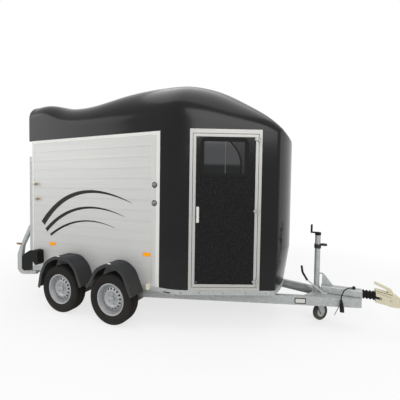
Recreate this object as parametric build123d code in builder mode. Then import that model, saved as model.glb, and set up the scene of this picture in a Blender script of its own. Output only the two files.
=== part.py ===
"""Two-horse box trailer on a tandem axle, parked on its jockey wheel.

Frame: +X towards the tow coupling, +Y to the trailer's left, +Z up. The origin is on the ground, on the
centreline, midway between the tail and the coupling's nose. All sizes are in millimetres.
The body has aluminium plank walls behind, and one black moulded shell that makes the roof and the nose.
"""

from build123d import *
import math
import os

os.makedirs("parts", exist_ok=True)

# Reach of the trailer, measured from the middle of its axle group
TAIL_REACH = 1420.0
COUPLING_REACH = 3340.0
AXLE_X = (TAIL_REACH - COUPLING_REACH) / 2

# Wheels
TYRE_R = 288.0
TYRE_WIDTH = 165.0
RIM_FLANGE_R = 182.5
RIM_BEAD_R = 165.0
WHEEL_SPACING = 768.0
BODY_HALF = 880.0
TRACK_HALF = BODY_HALF + 110.0
WHEEL_XS = {"front": AXLE_X + WHEEL_SPACING / 2, "rear": AXLE_X - WHEEL_SPACING / 2}
SIDES = {"right": -1, "left": 1}

# Body
SILL_TOP = 446.0
WALL_TOP = 2155.0
BODY_REAR = AXLE_X - 1105.0
POST_FRONT = AXLE_X + 900.0
TURN_X = AXLE_X + 1095.0
TURN_R = 490.0
NOSE_CORNER_X = AXLE_X + 2062.0
NOSE_CORNER_HALF = 470.0
NOSE_TIP = AXLE_X + 2203.0
NOSE_CORNER_R = 60.0
NOSE_BOW_R = 1060.0
NOSE_LOW_TIP = AXLE_X + 2143.0
NOSE_LOW_BOW_R = 1900.0
NOSE_BEND_TOP = 870.0  # below this height the nose leans back and flattens
BOW_REACH = NOSE_CORNER_HALF + 60.0  # half width of the bowed front, cut by the slanted sides
BOW_MARGIN = 20.0
NOSE_SEAM = 1990.0  # ahead of the walls the roof's moulding comes down to this seam
SHELL_T = 20.0
FIT = 0.3  # gap between pieces that seat on each other
RUNNING = 0.05  # play of a shaft in its bore

# Roof
ROOF_REAR = AXLE_X - 1160.0
ROOF_TOP = 2900.0  # a height above every part of the roof
ROOF_BASE = NOSE_SEAM - 35.0  # where the roof's sections start, below its cut edges

# Chassis
RAIL_TOP = 351.0
RAIL_HEIGHT = 100.0
RAIL_FLANGE = 50.0
RAIL_WALL = 5.0
RAIL_HALF = BODY_HALF - 112.0
RAIL_REAR = AXLE_X - 1045.0
RAIL_BEND_X = AXLE_X + 623.0
RAIL_TIP_X = AXLE_X + 2975.0
RAIL_TIP_HALF = 52.0
CROSS_WIDTH = 50.0
CROSS_XS = [AXLE_X + x for x in (-1000.0, -620.0, -190.0, 190.0, 620.0, 1040.0, 1460.0, 1880.0)]
FLOOR_T = 22.0
SILL_HEIGHT = 51.0
SILL_T = 4.0
SILL_LEDGE = 40.0
AXLE_BEAM = 60.0
AXLE_LEAD = 135.0  # how far the beam lies ahead of its wheels
ARM_T = 30.0
ARM_HALF = TRACK_HALF - 158.0
ARM_R = 34.0
STUB_R = 20.0

# Walls
WALL_T = 22.0
FRAME_T = 28.0
PLANKS = 14
GROOVE_DEPTH = 2.5
GROOVE_WIDTH = 9.0
TOP_RAIL = 38.0
FRONT_POST = 108.0
REAR_POST = 32.0
WALL_RECESS = 2.0

# Side door
DOOR_START = 144.0  # along the slanted side, from the turn to the door frame
DOOR_WIDTH = 765.0
DOOR_BOTTOM = SILL_TOP + 2.0
DOOR_TOP = WALL_TOP + 11.0
DOOR_PROUD = 8.0
DOOR_LIP = 20.0  # how far the door frame's face covers the moulding's cut edge
LEAF_START = 36.0
LEAF_END = 729.0
LEAF_LOW = 484.0
LEAF_HIGH = 2117.0
LEAF_GAP = 5.0
LEAF_T = 30.0
LEAF_FACE = 6.0  # height of the leaf's face above the moulding
LEAF_EDGE = 30.0  # width of the light frame round the leaf's panel
WINDOW_START = 112.0
WINDOW_END = 622.0
WINDOW_LOW = 1662.0
WINDOW_HIGH = 2077.0
WINDOW_R = 60.0
WINDOW_RING = 38.0
GLASS_T = 5.0
HANDLE_START = 76.0
HANDLE_LOW = 1175.0
HINGE_S = LEAF_END + LEAF_GAP / 2
HINGE_OUT = 22.0
HINGE_R = 8.0
HINGE_PIN_R = 4.0
HINGE_ZS = (2063.0, 1307.0, 548.0)
HINGE_LENGTH = 60.0
STRAP_REACH = 45.0

# Rear frame and ramp
POST_DEPTH = 50.0
POST_WIDTH = 108.0
POST_INNER = 30.0  # width of the post's lower part, inboard of the lamp
POST_X = BODY_REAR - FIT  # front face of the rear posts
POST_NOTCH = 662.0
REAR_TOP = 1948.0
GUARD_T = 40.0
REAR_BAR_TOP = 406.0
REAR_BAR_HEIGHT = 56.0
REAR_BAR_DEPTH = 70.0
# The bent guard, as seen from the side: its outer and its inner outline, from the post to the rail's end
GUARD_OUTER = [
    (-1171, 1009), (-1360, 702), (-TAIL_REACH, 581), (-TAIL_REACH, 360), (-1365, 314), (-1308, 302),
]
GUARD_INNER = [(-1300, 352), (-1333, 376), (-1333, 560), (-1304, 707), (-1108, 1013)]
GUARD_END = [(-1045, 337), (-1045, 385)]
LAMP_OUTLINE = [
    (-1331, 544), (-1292, 587), (-1180, 649), (-1153, 627),
    (-1111.5, 428), (-1119, 386), (-1300, 360), (-1331, 382),
]
LAMP_INSET = 4.0  # the lamp's outer face lies this far inside the guard's
LENS_LOW = 400.0
LENS_HIGH = 540.0
LENS_T = 10.0
LATCH_Z = 730.0
LATCH_REAR = TAIL_REACH - 10.0
LATCH_LENGTH = 80.0
RAMP_HALF = BODY_HALF - POST_WIDTH - 10.0
RAMP_T = 42.0
RAMP_LOW = 480.0
RAMP_TOP = 1942.0
RAMP_FRAME = 45.0
RAMP_FRONT_X = AXLE_X - 1118.0
RAMP_AXIS = (AXLE_X - 1150.0, 455.0)
RAMP_KNUCKLE_R = 14.0
RAMP_PIN_R = 6.0
RAMP_HINGE_YS = (-600.0, -200.0, 200.0, 600.0)
CLEATS = 9

# Partition between the two stalls
PARTITION_REACH = 850.0
PARTITION_HEIGHT = 1450.0
CHEST_BAR_Z = 1050.0

# Mudguards: each arch as seen from the side, from its rear foot over its wheel to its front foot
GUARD_SHEET = 4.0
GUARD_HALF = BODY_HALF + 210.0
GUARD_LIP = 38.0
GUARD_R = 200.0
GUARD_ARCHES = {
    "rear": [(-339, 276), (-305, 450), (-215, 615), (-60, 695), (165, 695), (290, 590), (380, 383)],
    "front": [(-331, 404), (-278, 460), (-190, 620), (-50, 695), (95, 695), (215, 610), (319, 378)],
}

# Small pieces on the sides
REFLECTOR_SPOTS = [(-724, 785), (741, 794)]
MARKER_SPOT = (770, 440)
CHOCK_OUTLINE = [(-1070, 593), (-1115, 601), (-963, 697), (-894, 686), (-886, 527), (-930, 497)]
CHOCK_HOLLOW = (-999, 551)
CHOCK_T = 90.0

# Jockey wheel: its fork trails to the front left, as it stands in the photograph
JOCKEY_X = AXLE_X + 2519.0
JOCKEY_TURN = math.radians(45)
JOCKEY_TRAIL = 70.0
JOCKEY_R = 100.0
JOCKEY_WIDTH = 52.0
JOCKEY_AXLE_R = 8.0
JOCKEY_TUBE_R = 30.0
JOCKEY_BORE_R = 25.0
JOCKEY_STEM_R = 24.9
JOCKEY_TUBE_LOW = 352.0
JOCKEY_TUBE_HIGH = 1018.0
CRANK_CAP = 32.0
CRANK_ARM = 70.0
CRANK_GRIP = 100.0
COLLAR_LOW = 865.0
COLLAR_HIGH = 912.0
COLLAR_T = 7.0
FORK_HALF = 38.0
FORK_SHEET = 5.0
FORK_TOP_T = 14.0
FORK_LOW = 2 * JOCKEY_R + 20.0

# Drawbar plate, and the rod under the near rail
PLATE_T = 6.0
PLATE_REAR = [(-132, 0.84), (-91, 0.52), (-53, 0.27)]  # x from the tube, share of the plate's half width
ROD_TOP = (2748.0, 253.0)
ROD_FOOT = (2706.0, 148.0)
ROD_Y = -110.0
ROD_R = 5.0

# Coupling
HOUSING_REAR_X = AXLE_X + 2572.0
HOUSING_FRONT_X = AXLE_X + 2980.0
HOUSING_HALF = 48.0
HOUSING_LOW = RAIL_TOP + PLATE_T + FIT
HOUSING_HIGH = 438.0
HOUSING_R = 12.0
GUSSET_TOP = 578.0
DRAWTUBE_Z = 395.0
DRAWTUBE_R = 24.0
BELLOWS_FOLDS = 4
BELLOWS_LOW_R = 36.0
BELLOWS_HIGH_R = 51.0
HEAD_REAR_X = AXLE_X + 3108.0
HEAD_HALF = 42.0
BALL_X = AXLE_X + 3288.0
BALL_R = 25.5
BALL_Z = 345.0
HEAD_LOW = 306.0
# The head as seen from the side, from its rear face: x from that face, height
HEAD_OUTLINE = [
    (0, 332), (0, 466), (60, 458), (150, 440), (205, 422), (232, 396), (232, 330), (215, 306), (140, 306),
    (90, 318),
]
SLOT_X = 135.0
SLOT_LENGTH = 54.0
SLOT_LOW = 430.0
HANDLE_HALF = 14.0
COUPLING_HANDLE = [
    (158, 430), (160, 456), (148, 482), (112, 502), (0, 547), (-16, 538), (-8, 521), (82, 484), (113, 462),
    (118, 430),
]
LEVER_Y = -70.0
LEVER_T = 10.0
LEVER_WIDTH = 16.0
LEVER_PATH = [(2595.0, 366.0), (2413.0, 495.0)]
GRIP_PATH = [(2413.0, 495.0), (2362.0, 578.0), (2350.0, 654.0)]
GRIP_R = 12.0
GRIP_SOCKET = 4.0  # how far the grip covers the lever's end

# Lead to the towing vehicle: the points of its route, from its strain relief to its plug
LEAD_R = 5.5
LEAD_ROUTE = [
    (2874, -34, 454), (2848, -53.5, 455), (2818, -78, 449), (2793, -101, 430), (2776, -121, 399),
    (2765, -129, 366), (2767, -132, 336),
]
RELIEF_LENGTH = 30.0
PLUG_LENGTH = 128.0
PLUG_R = 22.0

SLANT = math.atan2(BODY_HALF - NOSE_CORNER_HALF, NOSE_CORNER_X - TURN_X)
TURN_REACH = TURN_R * math.tan(SLANT / 2)
RAIL_ANGLE = math.atan2(RAIL_HALF - RAIL_TIP_HALF, RAIL_TIP_X - RAIL_BEND_X)
DOOR_PLANE = Plane(
    origin=(TURN_X + DOOR_START * math.cos(SLANT), -BODY_HALF + DOOR_START * math.sin(SLANT), 0),
    x_dir=(math.cos(SLANT), math.sin(SLANT), 0),
    z_dir=(math.sin(SLANT), -math.cos(SLANT), 0),
)


def slant_half(x):
    """Half width of the nose at x, on the straight slanted side."""
    return BODY_HALF - (x - TURN_X) * math.tan(SLANT)


def crown_line(half, top, spring, share, base):
    """The outline across the trailer at one station, as lines and tangent arcs."""
    height = top - spring
    shoulder = share * height
    a = half - shoulder
    crown_r = (a**2 + height**2 - shoulder**2) / (2 * (height - shoulder))
    crown_z = top - crown_r
    lean = math.atan2(a, spring - crown_z)
    join = (crown_r * math.sin(lean), crown_z + crown_r * math.cos(lean))
    mid = (math.pi / 2 - lean) / 2
    shoulder_mid = (a + shoulder * math.cos(mid), spring + shoulder * math.sin(mid))
    Line((half, base), (half, spring))
    ThreePointArc((half, spring), shoulder_mid, join)
    ThreePointArc(join, (0, top), (-join[0], join[1]))
    ThreePointArc((-join[0], join[1]), (-shoulder_mid[0], shoulder_mid[1]), (-half, spring))
    Line((-half, spring), (-half, base))
    Line((-half, base), (half, base))


# Stations of the roof: x from the axle group, height of the crown, height at which the side starts to
# curve, and the share of the height between them that the shoulder's arc takes
ROOF_STATIONS = [
    (-1160, 2726, 2460, 0.75),
    (-1040, 2726, 2465, 0.75),
    (-860, 2718, 2455, 0.76),
    (-620, 2653, 2360, 0.84),
    (-380, 2636, 2310, 0.88),
    (-100, 2666, 2300, 0.90),
    (240, 2756, 2300, 0.90),
    (600, 2803, 2300, 0.90),
    (850, 2805, 2300, 0.90),
    (995, 2797, 2298, 0.90),
    (1095, 2788, 2295, 0.90),
    (1195, 2776, 2287, 0.90),
    (1450, 2704, 2250, 0.90),
    (1700, 2563, 2200, 0.90),
    (1920, 2409, 2170, 0.90),
    (2100, 2239, 2120, 0.90),
    (2240, 2095, 2035, 0.90),
]


def body_half(x, inset):
    """Half width of the black moulding at x, moved in by a wall's thickness."""
    if x <= TURN_X - TURN_REACH + 1:
        return BODY_HALF - inset
    if x >= TURN_X + TURN_REACH - 1:
        return slant_half(x) - inset / math.cos(SLANT)
    return BODY_HALF - TURN_REACH * math.tan(SLANT) / 4 - inset / math.cos(SLANT / 2)


def roof_sections(inset, base):
    """Sections of the roof's outer or inner form, one at each station."""
    sections = []
    for reach, crown, spring, share in ROOF_STATIONS:
        x = AXLE_X + reach
        with BuildSketch(Plane.YZ.offset(x)) as section:
            with BuildLine():
                crown_line(body_half(x, inset), crown - inset, spring, share, base)
            make_face()
        sections.append(section.sketch)
    return sections


def bow_face(tip, radius, height):
    """A horizontal face from behind the tail to the nose's bowed front, wider than the body."""
    wide = BODY_HALF + BOW_MARGIN
    rear = ROOF_REAR - 50
    side_x = tip - radius + math.sqrt(radius**2 - BOW_REACH**2)
    with BuildSketch(Plane.XY.offset(height)) as face:
        with BuildLine():
            left = [(side_x, BOW_REACH), (side_x, wide), (rear, wide)]
            Polyline(left + [(x, -y) for x, y in reversed(left)])
            ThreePointArc((side_x, -BOW_REACH), (tip, 0), (side_x, BOW_REACH))
        make_face()
    return face.sketch


def nose_plan(rear, inset, front=NOSE_TIP + 60):
    """The body's plan from a station to beyond the nose, its sides turning in to the slant."""
    turn_half = BODY_HALF - inset
    turn_x = TURN_X - inset * math.tan(SLANT / 2)
    end_half = slant_half(front) - inset / math.cos(SLANT)
    with BuildSketch(Plane.XY) as plan:
        with BuildLine():
            for side in (-1, 1):
                points = [(rear, side * turn_half), (turn_x, side * turn_half), (front, side * end_half)]
                FilletPolyline(points, radius=TURN_R - inset)
            Line((rear, -turn_half), (rear, turn_half))
            Line((front, -end_half), (front, end_half))
        make_face()
    return plan.sketch


def front_block(rear, inset):
    """The nose below the roof as a solid block, its front leaning back near the bottom."""
    with BuildPart() as bow:
        extrude(bow_face(NOSE_TIP - inset, NOSE_BOW_R, NOSE_BEND_TOP), amount=ROOF_TOP - NOSE_BEND_TOP)
        low = bow_face(NOSE_LOW_TIP - inset, NOSE_LOW_BOW_R, SILL_TOP)
        high = bow_face(NOSE_TIP - inset, NOSE_BOW_R, NOSE_BEND_TOP)
        loft([low, high], ruled=True)
    with BuildPart() as block:
        with BuildSketch(Plane.XY.offset(SILL_TOP)):
            add(nose_plan(rear, inset))
        extrude(amount=NOSE_SEAM - SILL_TOP)
        add(bow.part, mode=Mode.INTERSECT)
        if inset == 0:
            ahead = [e for e in block.edges() if e.center().X > NOSE_CORNER_X - 60]
            uprights = [e for e in ahead if abs(e.center().Y) > 400]
            fillet([e for e in uprights if e.length > 300], NOSE_CORNER_R)
    return block.part


def place(half):
    """The right and left of a pair: each side's sign with its place across."""
    return [(side, side * half) for side in (-1, 1)]


def shift(points):
    """Points that are given from the axle group, in the trailer's frame."""
    return [(AXLE_X + x, *rest) for x, *rest in points]


def save(builder, node):
    """Names a sub-part and writes its file."""
    builder.part.label = node
    export_step(builder.part, f"parts/{node}.step")


# All pieces of the side door lie in the plane of the slanted side
def door_block(s_low, s_high, z_low, z_high, n_low, n_high, mode=Mode.ADD, radius=0.0):
    """A block in the door's plane, from s and z limits and two heights above the moulding."""
    with BuildSketch(DOOR_PLANE.offset(n_low)) as face:
        with Locations(((s_low + s_high) / 2, (z_low + z_high) / 2)):
            if radius:
                RectangleRounded(s_high - s_low, z_high - z_low, radius)
            else:
                Rectangle(s_high - s_low, z_high - z_low)
    extrude(face.sketch, amount=n_high - n_low, mode=mode)


def inset_block(inset, n_low, n_high, mode=Mode.ADD):
    """A block over the whole door, moved in by an inset from the door frame's outline."""
    door_block(inset, DOOR_WIDTH - inset, DOOR_BOTTOM + inset, DOOR_TOP - inset, n_low, n_high, mode)


def leaf_block(inset, n_low, n_high, mode=Mode.ADD):
    """A block over the door's leaf, moved in by an inset from the leaf's outline."""
    door_block(LEAF_START + inset, LEAF_END - inset, LEAF_LOW + inset, LEAF_HIGH - inset, n_low, n_high, mode)


# Black moulding: roof above the walls, and down to the seam round the nose
with BuildPart() as roof_shell:
    loft(roof_sections(0.0, ROOF_BASE))
    with BuildSketch(Plane.XY.offset(ROOF_BASE)):
        add(bow_face(NOSE_TIP, NOSE_BOW_R, 0.0))
    extrude(amount=ROOF_TOP - ROOF_BASE, mode=Mode.INTERSECT)
    ahead = [e for e in roof_shell.edges() if e.center().X > NOSE_CORNER_X - 60]
    rim = [e for e in ahead if e.center().Z > ROOF_BASE + 1]
    fillet(rim, NOSE_CORNER_R)
    with BuildPart(mode=Mode.PRIVATE) as roof_hollow:
        loft(roof_sections(SHELL_T, ROOF_BASE - 10), ruled=True)
        with BuildSketch(Plane.XY.offset(ROOF_BASE - 10)):
            add(bow_face(NOSE_TIP - SHELL_T, NOSE_BOW_R, 0.0))
        extrude(amount=ROOF_TOP - ROOF_BASE + 10, mode=Mode.INTERSECT)
    add(roof_hollow.part, mode=Mode.SUBTRACT)
    split(bisect_by=Plane.XY.offset(NOSE_SEAM + FIT), keep=Keep.TOP)
    with BuildSketch(Plane.XY.offset(NOSE_SEAM)):
        with Locations(((ROOF_REAR - BOW_MARGIN + POST_FRONT + FIT) / 2, 0)):
            Rectangle(POST_FRONT + FIT - ROOF_REAR + BOW_MARGIN, 2 * (BODY_HALF + BOW_MARGIN))
    extrude(amount=WALL_TOP + FIT - NOSE_SEAM, mode=Mode.SUBTRACT)
    inset_block(DOOR_LIP, -2 * SHELL_T, 2 * SHELL_T, Mode.SUBTRACT)
    inset_block(-FIT, 0.0, 2 * SHELL_T, Mode.SUBTRACT)
save(roof_shell, "roof_shell")

# Black moulding: front shell round the nose, with the side door's opening
with BuildPart() as front_shell:
    add(front_block(POST_FRONT + FIT, 0.0))
    add(front_block(POST_FRONT - 10, SHELL_T), mode=Mode.SUBTRACT)
    inset_block(DOOR_LIP, -2 * SHELL_T, 2 * SHELL_T, Mode.SUBTRACT)
save(front_shell, "front_shell")

# Chassis: bent rails, cross members above them, floor and sill strip
def rail_face(side, near, far, height):
    """A strip in plan along one bent rail, from near to far inside its outer face."""
    with BuildSketch(Plane.XY.offset(height)) as face:
        with BuildLine():
            ends = []
            for inset in (near, far):
                bend = RAIL_BEND_X - inset * math.tan(RAIL_ANGLE / 2)
                tip = RAIL_TIP_HALF - inset / math.cos(RAIL_ANGLE)
                ends.append([(RAIL_REAR, RAIL_HALF - inset), (bend, RAIL_HALF - inset), (RAIL_TIP_X, tip)])
            outline = ends[0] + ends[1][::-1]
            Polyline([(x, side * y) for x, y in outline], close=True)
        make_face()
    return face.sketch


with BuildPart() as chassis_rails:
    for side in (-1, 1):
        for near, far, low, high in (
            (0.0, RAIL_WALL, 0.0, RAIL_HEIGHT),
            (0.0, RAIL_FLANGE, 0.0, RAIL_WALL),
            (0.0, RAIL_FLANGE, RAIL_HEIGHT - RAIL_WALL, RAIL_HEIGHT),
        ):
            extrude(rail_face(side, near, far, RAIL_TOP - RAIL_HEIGHT + low), amount=high - low)
    rod_top = Vector(AXLE_X + ROD_TOP[0], ROD_Y, ROD_TOP[1])
    rod_foot = Vector(AXLE_X + ROD_FOOT[0], ROD_Y, ROD_FOOT[1])
    with BuildSketch(Plane(origin=rod_top, z_dir=rod_foot - rod_top)):
        Circle(ROD_R)
    extrude(amount=(rod_foot - rod_top).length)
save(chassis_rails, "chassis_rails")


def floor_plan(rear, inset, height):
    """The body's plan at the sill, with rounded nose corners, moved in by an inset."""
    with BuildSketch() as plan:
        add(nose_plan(rear, inset))
        add(bow_face(NOSE_LOW_TIP - inset, NOSE_LOW_BOW_R, 0.0), mode=Mode.INTERSECT)
        corners = [v for v in plan.vertices() if v.X > NOSE_CORNER_X - 120]
        fillet(corners, NOSE_CORNER_R)
    return plan.sketch.moved(Location((0, 0, height)))


LEDGE_LOW = SILL_TOP - FIT - SILL_T
FLOOR_TOP = LEDGE_LOW - FIT
with BuildPart() as cross_members:
    for x in CROSS_XS:
        half = (BODY_HALF if x < TURN_X else slant_half(x)) - SILL_LEDGE - 20
        with Locations((x, 0, RAIL_TOP + FIT)):
            height = FLOOR_TOP - FLOOR_T - FIT - RAIL_TOP - FIT
            Box(CROSS_WIDTH, 2 * half, height, align=(Align.CENTER, Align.CENTER, Align.MIN))
save(cross_members, "cross_members")

with BuildPart() as floor_deck:
    extrude(floor_plan(BODY_REAR + 25, SILL_T + FIT, FLOOR_TOP - FLOOR_T), amount=FLOOR_T)
save(floor_deck, "floor_deck")

with BuildPart() as sill_strip:
    extrude(floor_plan(BODY_REAR, 0.0, SILL_TOP - SILL_HEIGHT), amount=SILL_HEIGHT - FIT)
    hollow = floor_plan(BODY_REAR - 10, SILL_T, SILL_TOP - SILL_HEIGHT)
    extrude(hollow, amount=LEDGE_LOW - SILL_TOP + SILL_HEIGHT, mode=Mode.SUBTRACT)
    extrude(floor_plan(BODY_REAR - 10, SILL_LEDGE, LEDGE_LOW - 1), amount=SILL_T + 2, mode=Mode.SUBTRACT)
save(sill_strip, "sill_strip")

# Side walls: planked panels inside a trim of posts and top rail
PANEL_X = (BODY_REAR + REAR_POST + POST_FRONT - FRONT_POST) / 2
PANEL_LENGTH = POST_FRONT - FRONT_POST - BODY_REAR - REAR_POST
PANEL_TOP = WALL_TOP - TOP_RAIL
PANEL_Z = (SILL_TOP + PANEL_TOP) / 2

with BuildPart() as wall_frames:
    for side, y in place(BODY_HALF):
        with BuildSketch(Plane.XZ.offset(-y)):
            with Locations(((BODY_REAR + POST_FRONT) / 2, (SILL_TOP + WALL_TOP) / 2)):
                Rectangle(POST_FRONT - BODY_REAR, WALL_TOP - SILL_TOP)
            with Locations((PANEL_X, PANEL_Z - 5)):
                Rectangle(PANEL_LENGTH, PANEL_TOP - SILL_TOP + 10, mode=Mode.SUBTRACT)
        extrude(amount=side * FRAME_T)
save(wall_frames, "wall_frames")

with BuildPart() as wall_panels:
    for side, y in place(BODY_HALF - WALL_RECESS):
        with BuildSketch(Plane.XZ.offset(-y)):
            with Locations((PANEL_X, PANEL_Z)):
                Rectangle(PANEL_LENGTH - 2 * FIT, PANEL_TOP - SILL_TOP - 2 * FIT)
        extrude(amount=side * WALL_T)
    for side, y in place(BODY_HALF - WALL_RECESS):
        pitch = (PANEL_TOP - SILL_TOP) / PLANKS
        with BuildSketch(Plane.XZ.offset(-y)):
            with Locations([(PANEL_X, SILL_TOP + pitch * index) for index in range(1, PLANKS)]):
                Rectangle(PANEL_LENGTH - 2 * FIT, GROOVE_WIDTH)
        extrude(amount=side * GROOVE_DEPTH, mode=Mode.SUBTRACT)
save(wall_panels, "wall_panels")



# Side door: fixed frame, framed leaf with its window, handle and hinges
def hinge_knuckle(z_low, z_high, radius=HINGE_R, mode=Mode.ADD):
    """A stretch of hinge barrel or pin on the door's hinge axis."""
    centre = DOOR_PLANE.from_local_coords((HINGE_S, 0, HINGE_OUT))
    with BuildSketch(Plane.XY.offset(z_low)) as circle:
        with Locations((centre.X, centre.Y)):
            Circle(radius)
    extrude(circle.sketch, amount=z_high - z_low, mode=mode)


with BuildPart() as door_frame:
    inset_block(0.0, FIT, DOOR_PROUD)
    inset_block(DOOR_LIP + FIT, -SHELL_T - 6, FIT)
    leaf_block(-LEAF_GAP, -60.0, 60.0, Mode.SUBTRACT)
    third = HINGE_LENGTH / 6
    for z in HINGE_ZS:
        hinge_knuckle(z - 3 * third, z + 3 * third, HINGE_PIN_R)
        for z_low, z_high in ((z - 3 * third, z - third - FIT), (z + third + FIT, z + 3 * third)):
            door_block(HINGE_S + 3, HINGE_S + 20, z_low, z_high, DOOR_PROUD - 1, HINGE_OUT)
            hinge_knuckle(z_low, z_high)
save(door_frame, "door_frame")

with BuildPart() as door_leaf_frame:
    leaf_block(0.0, LEAF_FACE - LEAF_T, LEAF_FACE)
    leaf_block(LEAF_EDGE, -60.0, 60.0, Mode.SUBTRACT)
save(door_leaf_frame, "door_leaf_frame")


def window_block(inset, n_low, n_high, mode=Mode.ADD):
    """A rounded block over the door's window, moved in by an inset from its ring's outline."""
    limits = (WINDOW_START + inset, WINDOW_END - inset, WINDOW_LOW + inset, WINDOW_HIGH - inset)
    door_block(*limits, n_low, n_high, mode, WINDOW_R - inset)


with BuildPart() as door_leaf:
    leaf_block(LEAF_EDGE + FIT, LEAF_FACE - LEAF_T, LEAF_FACE)
    window_block(WINDOW_RING / 2, -60.0, 60.0, Mode.SUBTRACT)
save(door_leaf, "door_leaf")

with BuildPart() as door_window_frame:
    window_block(0.0, LEAF_FACE + FIT, LEAF_FACE + 8)
    window_block(WINDOW_RING / 2 + FIT, LEAF_FACE - LEAF_T, LEAF_FACE + FIT)
    window_block(WINDOW_RING, -60.0, 60.0, Mode.SUBTRACT)
save(door_window_frame, "door_window_frame")

with BuildPart() as door_glass:
    window_block(WINDOW_RING + FIT, 0.0, GLASS_T)
save(door_glass, "door_glass")

with BuildPart() as door_handle:
    start, low, face = HANDLE_START, HANDLE_LOW, LEAF_FACE
    door_block(start, start + 30, low, low + 170, face + FIT, face + 6, radius=8.0)
    door_block(start + 8, start + 22, low + 20, low + 50, face + 5, face + 26)
    door_block(start + 8, start + 22, low + 120, low + 150, face + 5, face + 26)
    door_block(start + 6, start + 24, low + 15, low + 155, face + 24, face + 34, radius=6.0)
save(door_handle, "door_handle")

with BuildPart() as door_hinge_straps:
    reach = LEAF_END - STRAP_REACH
    for z in HINGE_ZS:
        door_block(reach, HINGE_S, z - third, z + third, DOOR_PROUD + 6, DOOR_PROUD + 12)
        door_block(reach, LEAF_END - 5, z - third, z + third, LEAF_FACE + FIT, DOOR_PROUD + 7)
        hinge_knuckle(z - third, z + third)
        hinge_knuckle(z - third, z + third, HINGE_PIN_R + RUNNING, Mode.SUBTRACT)
save(door_hinge_straps, "door_hinge_straps")


# Rear frame: a post at each side, a bar under the floor's end, and a bent guard round the lamps
def side_face(points, y):
    """A closed outline of x and z from the axle group, in the upright plane at y."""
    with BuildSketch(Plane.XZ.offset(-y)) as face:
        with BuildLine():
            Polyline(shift(points), close=True)
        make_face()
    return face.sketch


def side_box(x_low, x_high, z_low, z_high, y):
    """A rectangle of x and z in the upright plane at y."""
    with BuildSketch(Plane.XZ.offset(-y)) as face:
        with Locations(((x_low + x_high) / 2, (z_low + z_high) / 2)):
            Rectangle(x_high - x_low, z_high - z_low)
    return face.sketch


with BuildPart() as rear_frame:
    for side, y in place(BODY_HALF):
        extrude(side_box(POST_X - POST_DEPTH, POST_X, POST_NOTCH, REAR_TOP, y), amount=side * POST_WIDTH)
        inner = y - side * (POST_WIDTH - POST_INNER)
        lower_post = side_box(POST_X - POST_DEPTH, POST_X, RAIL_TOP, POST_NOTCH, inner)
        extrude(lower_post, amount=side * POST_INNER)
        extrude(side_face(GUARD_OUTER + GUARD_END + GUARD_INNER, y), amount=side * GUARD_T)
    with Locations((RAIL_REAR - REAR_BAR_DEPTH / 2, 0, REAR_BAR_TOP)):
        bar_width = 2 * (BODY_HALF - 10)
        Box(REAR_BAR_DEPTH, bar_width, REAR_BAR_HEIGHT, align=(Align.CENTER, Align.CENTER, Align.MAX))
    x, z = RAMP_AXIS
    base_x = RAIL_REAR - 50
    low = REAR_BAR_TOP - 1
    arm_root = [(base_x, low), (base_x + 45, low), (base_x + 45, low + 10), (base_x + 10, low + 10)]
    arm = [(x, z + 10), (x, z - 10)] + arm_root
    for y in RAMP_HINGE_YS:
        with BuildSketch(Plane.XZ.offset(-y + 60)):
            with Locations(RAMP_AXIS):
                Circle(RAMP_PIN_R)
        extrude(amount=-120)
        for start in (y - 66, y + 36):
            with BuildSketch(Plane.XZ.offset(-start)):
                with Locations(RAMP_AXIS):
                    Circle(RAMP_KNUCKLE_R)
                with BuildLine():
                    Polyline(arm, close=True)
                make_face()
            extrude(amount=-30)
save(rear_frame, "rear_frame")

# Rear lamps: a housing inside each guard, against the post's lower part, with a lens facing back
lamp_width = POST_WIDTH - POST_INNER - FIT - LAMP_INSET
with BuildPart() as rear_lamp_housings:
    for side, y in place(BODY_HALF - LAMP_INSET):
        extrude(side_face(LAMP_OUTLINE, y), amount=side * lamp_width)
save(rear_lamp_housings, "rear_lamp_housings")

with BuildPart() as rear_lamp_lenses:
    lens_x = AXLE_X + LAMP_OUTLINE[0][0] - FIT
    outer = BODY_HALF - GUARD_T - 1
    inner = BODY_HALF - LAMP_INSET - lamp_width + 1
    for side, y in place(outer):
        extrude(side_box(lens_x - LENS_T, lens_x, LENS_LOW, LENS_HIGH, y), amount=side * (outer - inner))
save(rear_lamp_lenses, "rear_lamp_lenses")

with BuildPart() as ramp_latches:
    for side, y in place(BODY_HALF + FIT):
        latch_x = AXLE_X - LATCH_REAR
        extrude(side_box(latch_x, latch_x + LATCH_LENGTH, LATCH_Z - 13, LATCH_Z + 13, y), amount=-side * 6)
        with BuildSketch(Plane.YZ.offset(latch_x)):
            with Locations((y + side * 12, LATCH_Z)):
                Circle(11)
        extrude(amount=LATCH_LENGTH / 2)
save(ramp_latches, "ramp_latches")

# Canvas over the opening between ramp and roof
with BuildPart() as rear_canvas:
    crown, spring, share = ROOF_STATIONS[0][1:]
    with BuildSketch(Plane.YZ.offset(ROOF_REAR + 40)):
        with BuildLine():
            crown_line(BODY_HALF - SHELL_T - 1, crown - SHELL_T - 1, spring, share, REAR_TOP + FIT)
        make_face()
    extrude(amount=3.0)
save(rear_canvas, "rear_canvas")

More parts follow.
